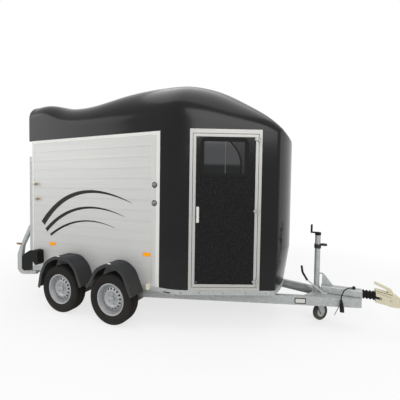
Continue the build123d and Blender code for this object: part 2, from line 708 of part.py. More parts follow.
# Ramp: framed panel with cleats on its inner side
with BuildPart() as ramp_frame:
    with BuildSketch(Plane.YZ.offset(RAMP_FRONT_X)):
        with Locations((0, (RAMP_LOW + RAMP_TOP) / 2)):
            Rectangle(2 * RAMP_HALF, RAMP_TOP - RAMP_LOW)
            Rectangle(2 * (RAMP_HALF - RAMP_FRAME), RAMP_TOP - RAMP_LOW - 2 * RAMP_FRAME, mode=Mode.SUBTRACT)
    extrude(amount=-RAMP_T)
    for y in RAMP_HINGE_YS:
        with BuildSketch(Plane.XZ.offset(-y + 30)):
            with Locations(RAMP_AXIS):
                Circle(RAMP_KNUCKLE_R)
            with Locations((RAMP_AXIS[0], (RAMP_AXIS[1] + RAMP_LOW + 1) / 2)):
                Rectangle(20, RAMP_LOW + 1 - RAMP_AXIS[1])
            with Locations(RAMP_AXIS):
                Circle(RAMP_PIN_R + RUNNING, mode=Mode.SUBTRACT)
        extrude(amount=-60)
save(ramp_frame, "ramp_frame")

with BuildPart() as ramp_panel:
    with BuildSketch(Plane.YZ.offset(RAMP_FRONT_X - 8)):
        with Locations((0, (RAMP_LOW + RAMP_TOP) / 2)):
            inset = RAMP_FRAME + FIT
            Rectangle(2 * (RAMP_HALF - inset), RAMP_TOP - RAMP_LOW - 2 * inset)
    extrude(amount=-(RAMP_T - 14))
save(ramp_panel, "ramp_panel")

with BuildPart() as ramp_cleats:
    span = RAMP_TOP - RAMP_LOW - 2 * RAMP_FRAME
    for index in range(CLEATS):
        z = RAMP_LOW + RAMP_FRAME + span * (index + 0.5) / CLEATS
        with Locations((RAMP_FRONT_X - 8 + FIT + 10, 0, z)):
            Box(20, 2 * (RAMP_HALF - RAMP_FRAME - 25), 30)
save(ramp_cleats, "ramp_cleats")

# Inside: partition between the two stalls, with its frame and the chest bars
with BuildPart() as stall_bars:
    for x in (AXLE_X - PARTITION_REACH, AXLE_X + PARTITION_REACH):
        with Locations((x, 0, FLOOR_TOP + FIT)):
            Cylinder(20, PARTITION_HEIGHT, align=(Align.CENTER, Align.CENTER, Align.MIN))
        with BuildSketch(Plane.XZ.offset(-(BODY_HALF - FRAME_T - FIT))):
            with Locations((x, CHEST_BAR_Z)):
                Circle(18)
        extrude(amount=2 * (BODY_HALF - FRAME_T - FIT))
save(stall_bars, "stall_bars")

with BuildPart() as partition_panel:
    with Locations((AXLE_X, 0, FLOOR_TOP + PARTITION_HEIGHT - 550)):
        Box(2 * (PARTITION_REACH - 20 - FIT), 40, 1000)
save(partition_panel, "partition_panel")

# Axles: a torsion beam under the rails with a trailing arm and stub at each end
for end, wheel_x in WHEEL_XS.items():
    with BuildPart() as axle:
        beam_z = RAIL_TOP - RAIL_HEIGHT - FIT - AXLE_BEAM / 2
        with Locations((wheel_x + AXLE_LEAD, 0, beam_z)):
            Box(AXLE_BEAM, 2 * ARM_HALF - ARM_T, AXLE_BEAM)
        beam_x = wheel_x + AXLE_LEAD
        for side, y in place(ARM_HALF - ARM_T):
            with BuildSketch(Plane.XZ.offset(-y)):
                with BuildLine():
                    Line((wheel_x, TYRE_R - ARM_R), (beam_x, beam_z - ARM_R))
                    ThreePointArc((beam_x, beam_z - ARM_R), (beam_x + ARM_R, beam_z), (beam_x, beam_z + ARM_R))
                    Line((beam_x, beam_z + ARM_R), (wheel_x, TYRE_R + ARM_R))
                    ThreePointArc((wheel_x, TYRE_R + ARM_R), (wheel_x - ARM_R, TYRE_R), (wheel_x, TYRE_R - ARM_R))
                make_face()
            extrude(amount=-side * ARM_T)
            with BuildSketch(Plane.XZ.offset(-y)):
                with Locations((wheel_x, TYRE_R)):
                    Circle(STUB_R)
            extrude(amount=-side * (TRACK_HALF - ARM_HALF + ARM_T))
    save(axle, f"axle_{end}")


# Wheels: profiles as (across from the wheel's middle plane, outwards positive; radius)
def wheel_face(points, x, side):
    """A closed profile beside a wheel's axis, in the upright plane through that axis."""
    with BuildSketch(Plane.YZ.offset(x)) as face:
        with BuildLine():
            Polyline([(side * (TRACK_HALF + across), TYRE_R + radius) for across, radius in points], close=True)
        make_face()
    return face.sketch


BEAD_HALF = 62.0
TYRE_PROFILE = [
    (-BEAD_HALF, RIM_BEAD_R + FIT), (BEAD_HALF, RIM_BEAD_R + FIT), (BEAD_HALF, RIM_FLANGE_R + 2),
    (TYRE_WIDTH / 2 - 3, 212), (TYRE_WIDTH / 2, 240), (71, 277), (58, TYRE_R),
    (-58, TYRE_R), (-71, 277), (-TYRE_WIDTH / 2, 240), (3 - TYRE_WIDTH / 2, 212),
    (-BEAD_HALF, RIM_FLANGE_R + 2),
]
RIM_PROFILE = [
    (-68, RIM_FLANGE_R), (-BEAD_HALF - FIT, RIM_FLANGE_R), (-BEAD_HALF - FIT, RIM_BEAD_R),
    (BEAD_HALF + FIT, RIM_BEAD_R), (BEAD_HALF + FIT, RIM_FLANGE_R), (68, RIM_FLANGE_R),
    (66, RIM_BEAD_R - 4), (20, RIM_BEAD_R - 8), (-66, RIM_BEAD_R - 4),
]
DISH_PROFILE = [
    (16, RIM_BEAD_R - 4), (22, 150), (44, 122), (44, 96), (30, 78), (24, 30), (17, 30), (23, 82), (37, 100),
    (37, 120),
    (16, 148),
]
DRUM_PROFILE = [
    (-70, STUB_R + RUNNING), (-70, 112), (-14, 112), (-14, 62), (22, 62), (19, 31), (48, 31), (52, 24),
    (52, 0), (0, 0),
    (0, STUB_R + RUNNING),
]
HOLE_CIRCLE_R = 137.0
HOLE_R = 9.0
HOLES = 16
BOLT_CIRCLE_R = 56.0
BOLT_R = 10.0
BOLTS = 5

for end, x in WHEEL_XS.items():
    for name, side in SIDES.items():
        axis = Axis((x, side * TRACK_HALF, TYRE_R), (0, 1, 0))
        with BuildPart() as tyre:
            revolve(wheel_face(TYRE_PROFILE, x, side), axis=axis)
        save(tyre, f"tyre_{end}_{name}")
        with BuildPart() as wheel:
            revolve(wheel_face(RIM_PROFILE, x, side), axis=axis)
            revolve(wheel_face(DISH_PROFILE, x, side), axis=axis)
            with BuildSketch(Plane.XZ.offset(-side * (TRACK_HALF + 20))):
                with Locations((x, TYRE_R)):
                    with PolarLocations(HOLE_CIRCLE_R, HOLES):
                        Circle(HOLE_R)
            extrude(amount=-side * 40, mode=Mode.SUBTRACT)
            revolve(wheel_face(DRUM_PROFILE, x, side), axis=axis)
            with BuildSketch(Plane.XZ.offset(-side * (TRACK_HALF + 25))):
                with Locations((x, TYRE_R)):
                    with PolarLocations(BOLT_CIRCLE_R, BOLTS, start_angle=90):
                        RegularPolygon(BOLT_R, 6)
            extrude(amount=-side * 18)
        save(wheel, f"wheel_{end}_{name}")


# Mudguards: one arch over each wheel on both sides
def guard_path(x, points, inset):
    """The rounded arch of a mudguard round the wheel at x, moved in by an inset."""
    ways = [Vector(*after) - Vector(*before) for before, after in zip(points, points[1:])]
    inwards = [Vector(way.Y, -way.X).normalized() for way in ways]
    moved = []
    for point, first, second in zip(points, inwards[:1] + inwards, inwards + inwards[-1:]):
        spot = Vector(*point) + (first + second) * (inset / (1 + first.dot(second)))
        moved.append((x + spot.X, spot.Y))
    return FilletPolyline(moved, radius=GUARD_R - inset)


for name, side in SIDES.items():
    with BuildPart() as mudguards:
        start = BODY_HALF + FIT
        for end, x in WHEEL_XS.items():
            arch = GUARD_ARCHES[end]
            with BuildSketch(Plane.XZ.offset(-side * start)):
                with BuildLine():
                    guard_path(x, arch, GUARD_SHEET / 2)
                trace(line_width=GUARD_SHEET)
            extrude(amount=-side * (GUARD_HALF - start))
            with BuildSketch(Plane.XZ.offset(-side * GUARD_HALF)):
                with BuildLine():
                    guard_path(x, arch, GUARD_LIP / 2)
                trace(line_width=GUARD_LIP)
            extrude(amount=side * GUARD_SHEET)
    save(mudguards, f"mudguards_{name}")

# Small pieces on the sides
with BuildPart() as side_reflectors:
    for side, y in place(BODY_HALF - WALL_RECESS + FIT):
        with BuildSketch(Plane.XZ.offset(-y)):
            with Locations(*shift(REFLECTOR_SPOTS)):
                RectangleRounded(98, 38, 5)
        extrude(amount=-side * 7)
save(side_reflectors, "side_reflectors")

with BuildPart() as marker_lamps:
    for side, y in place(BODY_HALF + FIT):
        with BuildSketch(Plane.XZ.offset(-y)):
            with Locations(*shift([MARKER_SPOT])):
                RectangleRounded(40, 64, 10)
        extrude(amount=-side * 26)
save(marker_lamps, "marker_lamps")

with BuildPart() as wheel_chocks:
    for side, y in place(BODY_HALF + FIT):
        with BuildSketch(Plane.XZ.offset(-y)):
            with BuildLine():
                outline = shift(CHOCK_OUTLINE)
                Polyline(outline)
                ThreePointArc(outline[-1], shift([CHOCK_HOLLOW])[0], outline[0])
            make_face()
        extrude(amount=-side * CHOCK_T)
save(wheel_chocks, "wheel_chocks")

# Drawbar plate, with the boss that holds the jockey wheel's tube
with BuildPart() as drawbar_plate:
    with BuildSketch(Plane.XY.offset(RAIL_TOP + FIT)):
        with BuildLine():
            rear_x = JOCKEY_X + PLATE_REAR[0][0]
            rail_half = RAIL_TIP_HALF + (RAIL_TIP_X - rear_x) * math.tan(RAIL_ANGLE)
            near = [(JOCKEY_X + reach, -share * rail_half) for reach, share in PLATE_REAR]
            far = [(x, -y) for x, y in reversed(near)]
            tip_half = RAIL_TIP_HALF - RAIL_WALL
            notch = [(JOCKEY_X - JOCKEY_TUBE_R - 9, 0)]
            tip = [(RAIL_TIP_X, tip_half), (RAIL_TIP_X, -tip_half)]
            Polyline(near + notch + far + tip, close=True)
        make_face()
        with Locations((JOCKEY_X, 0)):
            Circle(JOCKEY_TUBE_R + FIT, mode=Mode.SUBTRACT)
    extrude(amount=PLATE_T - FIT)
    with BuildSketch(Plane.XY.offset(RAIL_TOP + PLATE_T - 1)):
        with Locations((JOCKEY_X, 0)):
            Circle(JOCKEY_TUBE_R + 10)
            Circle(JOCKEY_TUBE_R + FIT, mode=Mode.SUBTRACT)
    extrude(amount=60)
save(drawbar_plate, "drawbar_plate")

# Jockey wheel: tube, crank, collar, sliding stem, swivelling fork and its wheel
with BuildPart() as jockey_tube:
    with BuildSketch(Plane.XY.offset(JOCKEY_TUBE_LOW)):
        with Locations((JOCKEY_X, 0)):
            Circle(JOCKEY_TUBE_R)
            Circle(JOCKEY_BORE_R, mode=Mode.SUBTRACT)
    extrude(amount=JOCKEY_TUBE_HIGH - JOCKEY_TUBE_LOW)
save(jockey_tube, "jockey_tube")

with BuildPart() as jockey_crank:
    upwards = (Align.CENTER, Align.CENTER, Align.MIN)
    with Locations((JOCKEY_X, 0, JOCKEY_TUBE_HIGH + FIT)):
        Cylinder(JOCKEY_TUBE_R + 3, CRANK_CAP, align=upwards)
    with Locations((JOCKEY_X - CRANK_ARM / 2, 0, JOCKEY_TUBE_HIGH + CRANK_CAP - 12)):
        Box(CRANK_ARM + 20, 22, 16, align=upwards)
    with Locations((JOCKEY_X - CRANK_ARM, 0, JOCKEY_TUBE_HIGH + CRANK_CAP - 12)):
        Cylinder(11, CRANK_GRIP, align=upwards)
save(jockey_crank, "jockey_crank")

with BuildPart() as jockey_collar:
    with BuildSketch(Plane.XY.offset(COLLAR_LOW)):
        with Locations((JOCKEY_X, 0)):
            Circle(JOCKEY_TUBE_R + COLLAR_T)
            Circle(JOCKEY_TUBE_R + FIT, mode=Mode.SUBTRACT)
    extrude(amount=COLLAR_HIGH - COLLAR_LOW)
    with BuildSketch(Plane.XY.offset(COLLAR_HIGH - 14)):
        with Locations((JOCKEY_X + 64, 0)):
            SlotOverall(72, 56)
            SlotOverall(44, 28, mode=Mode.SUBTRACT)
    extrude(amount=22)
    with BuildSketch(Plane.XY.offset(COLLAR_LOW)):
        with Locations((JOCKEY_X, 0)):
            Circle(JOCKEY_TUBE_R + FIT)
    extrude(amount=60, mode=Mode.SUBTRACT)
save(jockey_collar, "jockey_collar")

# The fork trails behind its swivel: one plane through both, and one across the wheel's spindle
TRAIL_WAY = Vector(math.cos(JOCKEY_TURN), math.sin(JOCKEY_TURN), 0)
SPINDLE_WAY = Vector(math.sin(JOCKEY_TURN), -math.cos(JOCKEY_TURN), 0)
FORK_PLANE = Plane(origin=(JOCKEY_X, 0, 0), x_dir=TRAIL_WAY, z_dir=SPINDLE_WAY)
SPINDLE_SPOT = Vector(JOCKEY_X, 0, JOCKEY_R) + TRAIL_WAY * JOCKEY_TRAIL

with BuildPart() as jockey_stem:
    with BuildSketch(Plane.XY.offset(FORK_LOW + FORK_TOP_T + FIT)):
        with Locations((JOCKEY_X, 0)):
            Circle(JOCKEY_STEM_R)
    extrude(amount=560)
save(jockey_stem, "jockey_stem")

with BuildPart() as jockey_fork:
    with BuildSketch(Plane(origin=(JOCKEY_X, 0, FORK_LOW), x_dir=TRAIL_WAY)):
        with Locations((JOCKEY_TRAIL / 2 - 5, 0)):
            Rectangle(JOCKEY_TRAIL + 60, 2 * FORK_HALF)
    extrude(amount=FORK_TOP_T)
    for offset, way in ((FORK_HALF, -1), (-FORK_HALF, 1)):
        with BuildSketch(FORK_PLANE.offset(offset)):
            with BuildLine():
                top = FORK_LOW + FORK_TOP_T
                low = JOCKEY_R - 18
                foot = [(JOCKEY_TRAIL - 18, low), (JOCKEY_TRAIL + 18, low)]
                Polyline([(-24, top)] + foot + [(JOCKEY_TRAIL + 24, top)], close=True)
            make_face()
        extrude(amount=way * FORK_SHEET)
    with BuildSketch(FORK_PLANE.offset(-FORK_HALF)):
        with Locations((JOCKEY_TRAIL, JOCKEY_R)):
            Circle(JOCKEY_AXLE_R)
    extrude(amount=2 * FORK_HALF)
save(jockey_fork, "jockey_fork")

with BuildPart() as jockey_wheel:
    with BuildSketch(Plane(origin=SPINDLE_SPOT, x_dir=SPINDLE_WAY, z_dir=-TRAIL_WAY)):
        with BuildLine():
            half = JOCKEY_WIDTH / 2
            bore = JOCKEY_AXLE_R + RUNNING
            edge = [(half, JOCKEY_R - 12), (half - 12, JOCKEY_R)]
            rim = edge + [(-across, radius) for across, radius in reversed(edge)]
            hub = [(-half, 72), (-half + 8, 68), (-half + 8, 30), (-half, 26), (-half, bore)]
            Polyline(rim + hub + [(-across, radius) for across, radius in reversed(hub)], close=True)
        make_face()
    revolve(axis=Axis(SPINDLE_SPOT, SPINDLE_WAY))
save(jockey_wheel, "jockey_wheel")

# Overrun housing with its gusset and draw tube
with BuildPart() as overrun_housing:
    with BuildSketch(Plane.YZ.offset(HOUSING_REAR_X)):
        with Locations((0, (HOUSING_LOW + HOUSING_HIGH) / 2)):
            RectangleRounded(2 * HOUSING_HALF, HOUSING_HIGH - HOUSING_LOW, HOUSING_R)
    extrude(amount=HOUSING_FRONT_X - HOUSING_REAR_X)
    with BuildSketch(Plane.YZ.offset(HOUSING_FRONT_X)):
        with Locations((0, DRAWTUBE_Z)):
            Circle(DRAWTUBE_R)
    extrude(amount=HEAD_REAR_X - FIT - HOUSING_FRONT_X)
    with BuildSketch(Plane.XZ.offset(-6)):
        with BuildLine():
            rear = JOCKEY_X + JOCKEY_TUBE_R + FIT
            start = HOUSING_REAR_X
            low = HOUSING_HIGH - 5
            crest = [(rear, GUSSET_TOP), (start + 12, GUSSET_TOP), (start + 39, GUSSET_TOP - 28)]
            crest += [(start + 130, low)]
            Polyline(crest + [(start + 4, low), (start + 4, GUSSET_TOP - 16), (rear, GUSSET_TOP - 16)], close=True)
        make_face()
    extrude(amount=12)
save(overrun_housing, "overrun_housing")

with BuildPart() as bellows:
    with BuildSketch(Plane.XZ):
        with BuildLine():
            start = HOUSING_FRONT_X + FIT
            end_x = HEAD_REAR_X - FIT
            pitch = (end_x - start) / BELLOWS_FOLDS
            crests = []
            for index in range(BELLOWS_FOLDS):
                crests.append((start + pitch * index, DRAWTUBE_Z + BELLOWS_LOW_R))
                crests.append((start + pitch * (index + 0.5), DRAWTUBE_Z + BELLOWS_HIGH_R))
            neck = DRAWTUBE_Z + DRAWTUBE_R + FIT
            Polyline(crests + [(end_x, DRAWTUBE_Z + BELLOWS_LOW_R), (end_x, neck), (start, neck)], close=True)
        make_face()
    revolve(axis=Axis((0, 0, DRAWTUBE_Z), (1, 0, 0)))
save(bellows, "bellows")

# Coupling head: rounded in plan, with the ball's socket and the slot of its handle
with BuildPart() as coupling_head:
    outline = [(HEAD_REAR_X - AXLE_X + reach, z) for reach, z in HEAD_OUTLINE]
    extrude(side_face(outline, -HEAD_HALF), amount=-2 * HEAD_HALF)
    with BuildSketch(Plane.XY.offset(HEAD_LOW - 10)):
        tip_x = AXLE_X + COUPLING_REACH
        with Locations((tip_x - HEAD_HALF, 0)):
            Circle(HEAD_HALF)
        with Locations(((HEAD_REAR_X + tip_x - HEAD_HALF) / 2, 0)):
            Rectangle(tip_x - HEAD_HALF - HEAD_REAR_X, 2 * HEAD_HALF)
    extrude(amount=200, mode=Mode.INTERSECT)
    with Locations((HEAD_REAR_X + SLOT_X, 0, SLOT_LOW - FIT)):
        slot_width = 2 * (HANDLE_HALF + FIT)
        Box(SLOT_LENGTH, slot_width, 60, align=(Align.CENTER, Align.CENTER, Align.MIN), mode=Mode.SUBTRACT)
    with Locations((BALL_X, 0, BALL_Z)):
        Sphere(BALL_R, mode=Mode.SUBTRACT)
        Cylinder(BALL_R, 80, align=(Align.CENTER, Align.CENTER, Align.MAX), mode=Mode.SUBTRACT)
save(coupling_head, "coupling_head")

with BuildPart() as coupling_handle:
    outline = [(HEAD_REAR_X - AXLE_X + reach, z) for reach, z in COUPLING_HANDLE]
    extrude(side_face(outline, -HANDLE_HALF), amount=-2 * HANDLE_HALF)
save(coupling_handle, "coupling_handle")

# Handbrake lever beside the housing, with its bent grip
with BuildPart() as brake_lever:
    with BuildSketch(Plane.XZ.offset(-LEVER_Y)):
        with BuildLine():
            Line(*shift(LEVER_PATH))
        trace(line_width=LEVER_WIDTH)
        foot_x, foot_z = shift(LEVER_PATH)[0]
        with Locations((foot_x + 5, (RAIL_TOP + PLATE_T + FIT + foot_z) / 2 + 6)):
            Rectangle(60, foot_z - RAIL_TOP - PLATE_T - FIT + 12)
    extrude(amount=LEVER_T)
save(brake_lever, "brake_lever")

lever_start, lever_end = [Vector(*spot) for spot in shift(LEVER_PATH)]
with BuildPart() as brake_grip:
    points = [Vector(x, LEVER_Y - LEVER_T / 2, z) for x, z in shift(GRIP_PATH)]
    points[0] -= (points[1] - points[0]).normalized() * GRIP_SOCKET
    with BuildLine() as grip_line:
        FilletPolyline(points, radius=60)
    way = (points[1] - points[0]).normalized()
    with BuildSketch(Plane(origin=points[0], z_dir=way)):
        Circle(GRIP_R)
    sweep(path=grip_line.line)
    with BuildSketch(Plane.XZ.offset(-LEVER_Y - FIT)):
        with BuildLine():
            Line(lever_start, lever_end + (lever_end - lever_start).normalized() * FIT)
        trace(line_width=LEVER_WIDTH + 2 * FIT)
    extrude(amount=LEVER_T + 2 * FIT, mode=Mode.SUBTRACT)
save(brake_grip, "brake_grip")

# Lead to the towing vehicle: strain relief on the housing, the lead's own tube, and the plug at its end
lead_points = [Vector(*point) for point in shift(LEAD_ROUTE)]
lead_runs = [after - before for before, after in zip(lead_points, lead_points[1:])]
lead_radii = []
for before, after in zip(lead_runs, lead_runs[1:]):
    turn = math.radians(before.get_angle(after))
    lead_radii.append(0.45 * min(before.length, after.length) / math.tan(turn / 2))
print("lead radii", [round(radius, 1) for radius in lead_radii])
print("lead length", round(sum(run.length for run in lead_runs), 1))

with BuildPart() as lead_relief:
    out_way = lead_runs[0].normalized()
    base = lead_points[0] - out_way * RELIEF_LENGTH
    with BuildSketch(Plane.XY.offset(HOUSING_HIGH + FIT)):
        with Locations((base.X + 4, base.Y + 4)):
            Rectangle(26, 24)
    extrude(amount=28)
    with BuildSketch(Plane(origin=base, z_dir=out_way)):
        Circle(9)
    with BuildSketch(Plane(origin=lead_points[0], z_dir=out_way)):
        Circle(LEAD_R + 1.5)
    loft()
save(lead_relief, "lead_relief")

with BuildPart() as trailer_lead:
    with BuildLine() as lead_line:
        FilletPolyline(lead_points, radius=lead_radii)
    with BuildSketch(Plane(origin=lead_points[0], z_dir=out_way)):
        Circle(LEAD_R)
    sweep(path=lead_line.line)
save(trailer_lead, "trailer_lead")

with BuildPart() as trailer_plug:
    in_way = lead_runs[-1].normalized()
    for reach, radius in ((0, LEAD_R + 3), (50, PLUG_R - 4)):
        with BuildSketch(Plane(origin=lead_points[-1] + in_way * reach, z_dir=in_way)):
            Circle(radius)
    loft()
    for reach, radius, length in ((50, PLUG_R - 4, 20), (70, PLUG_R, PLUG_LENGTH - 70)):
        with BuildSketch(Plane(origin=lead_points[-1] + in_way * reach, z_dir=in_way)):
            Circle(radius)
        extrude(amount=length)
save(trailer_plug, "trailer_plug")
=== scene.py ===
"""Studio scene of a two-horse box trailer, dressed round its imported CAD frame.

Everything is in metres, in the frame of the CAD: +X to the tow coupling, +Y to the trailer's left, +Z up.
"""

import logging
import math
from dataclasses import dataclass, field
from enum import Enum

import bmesh
import bpy
from mathutils import Matrix, Vector

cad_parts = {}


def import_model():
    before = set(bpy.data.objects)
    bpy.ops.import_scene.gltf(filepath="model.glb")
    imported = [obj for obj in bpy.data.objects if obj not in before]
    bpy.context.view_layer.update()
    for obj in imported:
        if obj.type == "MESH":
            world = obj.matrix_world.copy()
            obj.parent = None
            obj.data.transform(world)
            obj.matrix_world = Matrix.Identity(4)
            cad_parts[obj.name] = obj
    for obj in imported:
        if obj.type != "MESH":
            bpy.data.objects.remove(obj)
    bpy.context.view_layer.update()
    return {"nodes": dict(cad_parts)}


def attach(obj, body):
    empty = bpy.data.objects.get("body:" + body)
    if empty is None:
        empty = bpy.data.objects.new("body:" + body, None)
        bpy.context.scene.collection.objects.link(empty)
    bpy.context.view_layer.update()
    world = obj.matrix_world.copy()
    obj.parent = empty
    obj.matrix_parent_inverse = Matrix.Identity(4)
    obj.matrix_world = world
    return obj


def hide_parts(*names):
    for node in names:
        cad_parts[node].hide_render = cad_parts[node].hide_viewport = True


log = logging.getLogger("trailer")

Outline = list[tuple[float, float]]
Spot = tuple[float, float, float]

AXLE_X = -0.96
SIDES = {"right": -1, "left": 1}
WHEEL_XS = {"front": -0.576, "rear": -1.344}
BODY_HALF = 0.88
NOSE_TURN_X = 0.135
NOSE_SLANT = 0.4010
DOOR_FRAME_START = 0.144
UP = Vector((0, 0, 1))
SHARP_ANGLE = math.radians(35)
MERGE_REACH = 1e-6
# Heights where the painted sky reflection on the door glass turns from dark to light.
PAINTED_REFLECTION_BAND = (1.775, 1.815)
BRUSH_STRETCH = (0.12, 1.0, 9.0)
CLOUDS = {"Detail": 5.0, "Roughness": 0.6}
DUST_PATCHES = {"Scale": 9.0, "Detail": 6.0}
DUST_GAIN = 2.0
DUST_COLOUR = (0.22, 0.18, 0.13, 1.0)
DUST_ROUGHNESS = 0.9
COAT_ROUGHNESS = 0.08


class Pattern(Enum):
    """The pattern that a finish shows over its base colour."""

    # Painted reflection: the sky's reflection on glass, painted as a lighter colour above a height.
    PAINTED_REFLECTION = "darker below a height and lighter above it"
    MOTTLE = "soft clouds"
    SPANGLE = "crystals of hot zinc"
    BRUSHED = "long streaks"
    SPECKLE = "fine light specks"
    WEAVE = "woven threads"
    PEBBLE = "grained skin"


CELL_BANDS = {Pattern.SPECKLE: (0.32, 0.12), Pattern.PEBBLE: (0.0, 0.8)}


@dataclass(frozen=True)
class Finish:
    """One material, with its colour, gloss and the pattern over it."""

    name: str
    colour: Spot
    second: Spot
    roughness: float = 0.5
    spread: float = 0.1
    metallic: float = 0.0
    coat: float = 0.0
    pattern: Pattern = Pattern.MOTTLE
    scale: float = 4.0
    bump: float = 0.1
    depth: float = 0.001
    dust: float = 0.0
    dust_top: float = 0.6
    specular: float = 0.5
    slot: str = ""


FINISHES = [
    Finish("black_gelcoat", (0.003, 0.003, 0.004), (0.007, 0.007, 0.008), 0.14, 0.1, coat=0.04, scale=2.5,
           bump=0.03, depth=0.002, dust=0.04, dust_top=0.9, specular=0.2, slot="black_moulding"),
    Finish("silver_plank", (0.56, 0.56, 0.545), (0.50, 0.50, 0.49), 0.42, 0.12, metallic=0.25,
           pattern=Pattern.BRUSHED, scale=5.0, bump=0.08, depth=0.0006, dust=0.12, dust_top=0.8,
           slot="aluminium_plank"),
    Finish("white_paint", (0.70, 0.70, 0.67), (0.64, 0.64, 0.61), 0.35, 0.1, scale=6.0, bump=0.03, dust=0.1,
           dust_top=0.7, slot="white_trim"),
    Finish("bright_aluminium", (0.47, 0.46, 0.44), (0.40, 0.395, 0.38), 0.36, 0.12, metallic=0.3,
           pattern=Pattern.BRUSHED, scale=12.0, bump=0.05, depth=0.0004, slot="white_trim"),
    Finish("galvanised_zinc", (0.44, 0.46, 0.455), (0.38, 0.40, 0.395), 0.45, 0.2, metallic=0.45,
           pattern=Pattern.SPANGLE, scale=55.0, bump=0.1, depth=0.0005, dust=0.1, dust_top=0.5,
           slot="galvanised_steel"),
    Finish("axle_paint", (0.035, 0.035, 0.035), (0.07, 0.065, 0.06), 0.55, 0.2, scale=12.0, bump=0.2, dust=0.5,
           dust_top=0.45, slot="axle_steel"),
    Finish("floor_ply", (0.12, 0.075, 0.045), (0.08, 0.05, 0.03), 0.6, 0.1, pattern=Pattern.BRUSHED, scale=6.0,
           bump=0.2, slot="floor_board"),
    Finish("speckled_black", (0.003, 0.003, 0.004), (0.042, 0.041, 0.039), 0.2, 0.25, pattern=Pattern.SPECKLE,
           scale=110.0, bump=0.1, depth=0.0003, specular=0.16, slot="door_black"),
    Finish("black_rubber", (0.006, 0.006, 0.006), (0.012, 0.012, 0.011), 0.62, 0.15, scale=20.0, bump=0.15,
           dust=0.08, dust_top=0.5, specular=0.14, slot="black_rubber"),
    # Door glass: dark tint below a height, with a lighter painted sky reflection above it.
    Finish("grey_glass", (0.008, 0.009, 0.009), (0.055, 0.056, 0.058), 0.06, 0.02, bump=0.0,
           pattern=Pattern.PAINTED_REFLECTION, specular=0.2, slot="tinted_glass"),
    Finish("window_blind", (0.012, 0.012, 0.013), (0.022, 0.022, 0.024), 0.2, 0.1, scale=6.0, bump=0.0,
           specular=0.2, slot="tinted_glass"),
    Finish("window_rail", (0.12, 0.122, 0.125), (0.09, 0.09, 0.095), 0.4, 0.1, scale=30.0, bump=0.03,
           specular=0.25, slot="tinted_glass"),
    Finish("black_film", (0.005, 0.005, 0.006), (0.01, 0.01, 0.011), 0.38, 0.1, scale=8.0, bump=0.05, dust=0.06,
           dust_top=0.9, specular=0.2, slot="black_plastic"),
    Finish("chrome_cap", (0.26, 0.27, 0.29), (0.14, 0.145, 0.155), 0.14, 0.1, metallic=0.95, scale=60.0,
           bump=0.02, slot="hinge_steel"),
    Finish("worn_brass", (0.42, 0.27, 0.12), (0.25, 0.16, 0.09), 0.38, 0.2, metallic=0.7, scale=60.0, bump=0.15,
           slot="hinge_steel"),
    Finish("pale_label", (0.66, 0.64, 0.62), (0.56, 0.54, 0.52), 0.5, 0.1, scale=40.0, bump=0.05,
           slot="white_trim"),
    Finish("post_silver", (0.55, 0.55, 0.54), (0.49, 0.49, 0.48), 0.4, 0.1, metallic=0.2,
           pattern=Pattern.BRUSHED, scale=8.0, bump=0.05, depth=0.0004, slot="aluminium_plank"),
    Finish("pale_handle", (0.70, 0.71, 0.70), (0.62, 0.63, 0.62), 0.25, 0.1, metallic=0.4, scale=10.0,
           bump=0.03, slot="handle_white"),
    Finish("hinge_metal", (0.42, 0.42, 0.41), (0.34, 0.34, 0.33), 0.38, 0.12, metallic=0.5, scale=25.0,
           bump=0.05, slot="hinge_steel"),
    Finish("dark_canvas", (0.03, 0.031, 0.034), (0.05, 0.052, 0.056), 0.85, 0.08, pattern=Pattern.WEAVE,
           scale=320.0, bump=0.4, depth=0.0006, slot="canvas"),
    Finish("black_moulded", (0.016, 0.017, 0.019), (0.026, 0.027, 0.029), 0.5, 0.12, pattern=Pattern.PEBBLE,
           scale=180.0, bump=0.15, depth=0.0004, dust=0.2, dust_top=0.6, specular=0.3, slot="black_plastic"),
    Finish("red_lens", (0.42, 0.012, 0.01), (0.3, 0.008, 0.008), 0.12, 0.05, coat=0.5, scale=20.0, bump=0.02,
           slot="red_lens"),
    Finish("padded_vinyl", (0.05, 0.052, 0.056), (0.035, 0.036, 0.04), 0.5, 0.1, pattern=Pattern.PEBBLE,
           scale=240.0, bump=0.3, depth=0.0005, slot="padding"),
    Finish("amber_lens", (1.0, 0.37, 0.0), (0.93, 0.3, 0.0), 0.3, 0.05, scale=45.0, bump=0.1, depth=0.0004,
           pattern=Pattern.WEAVE, specular=0.15, slot="amber_lens"),
    Finish("cream_lens", (0.80, 0.76, 0.62), (0.72, 0.68, 0.55), 0.2, 0.05, coat=0.4, scale=15.0, bump=0.02,
           slot="clear_lens"),
    Finish("jockey_tyre", (0.02, 0.02, 0.02), (0.035, 0.033, 0.03), 0.7, 0.1, scale=30.0, bump=0.2, dust=0.3,
           dust_top=0.2, slot="jockey_rubber"),
    Finish("cream_paint", (0.66, 0.61, 0.44), (0.58, 0.54, 0.40), 0.42, 0.15, metallic=0.15, scale=14.0,
           bump=0.1, dust=0.15, dust_top=0.5, slot="cream_casting"),
    Finish("tyre_rubber", (0.006, 0.006, 0.006), (0.014, 0.013, 0.012), 0.72, 0.12, scale=14.0, bump=0.12,
           dust=0.05, dust_top=0.62, specular=0.2, slot="tyre"),
    Finish("wheel_silver", (0.42, 0.43, 0.44), (0.34, 0.35, 0.36), 0.36, 0.12, metallic=0.45, scale=14.0,
           bump=0.04, dust=0.12, dust_top=0.6, slot="wheel_steel"),
    # Painted shade: black for the drum seen through the wheel holes, and for the slots, seam and fold of the
    # coupling head.
    Finish("drum_black", (0.008, 0.008, 0.008), (0.016, 0.015, 0.014), 0.7, 0.1, scale=20.0, bump=0.1,
           specular=0.15, slot="axle_steel"),
]


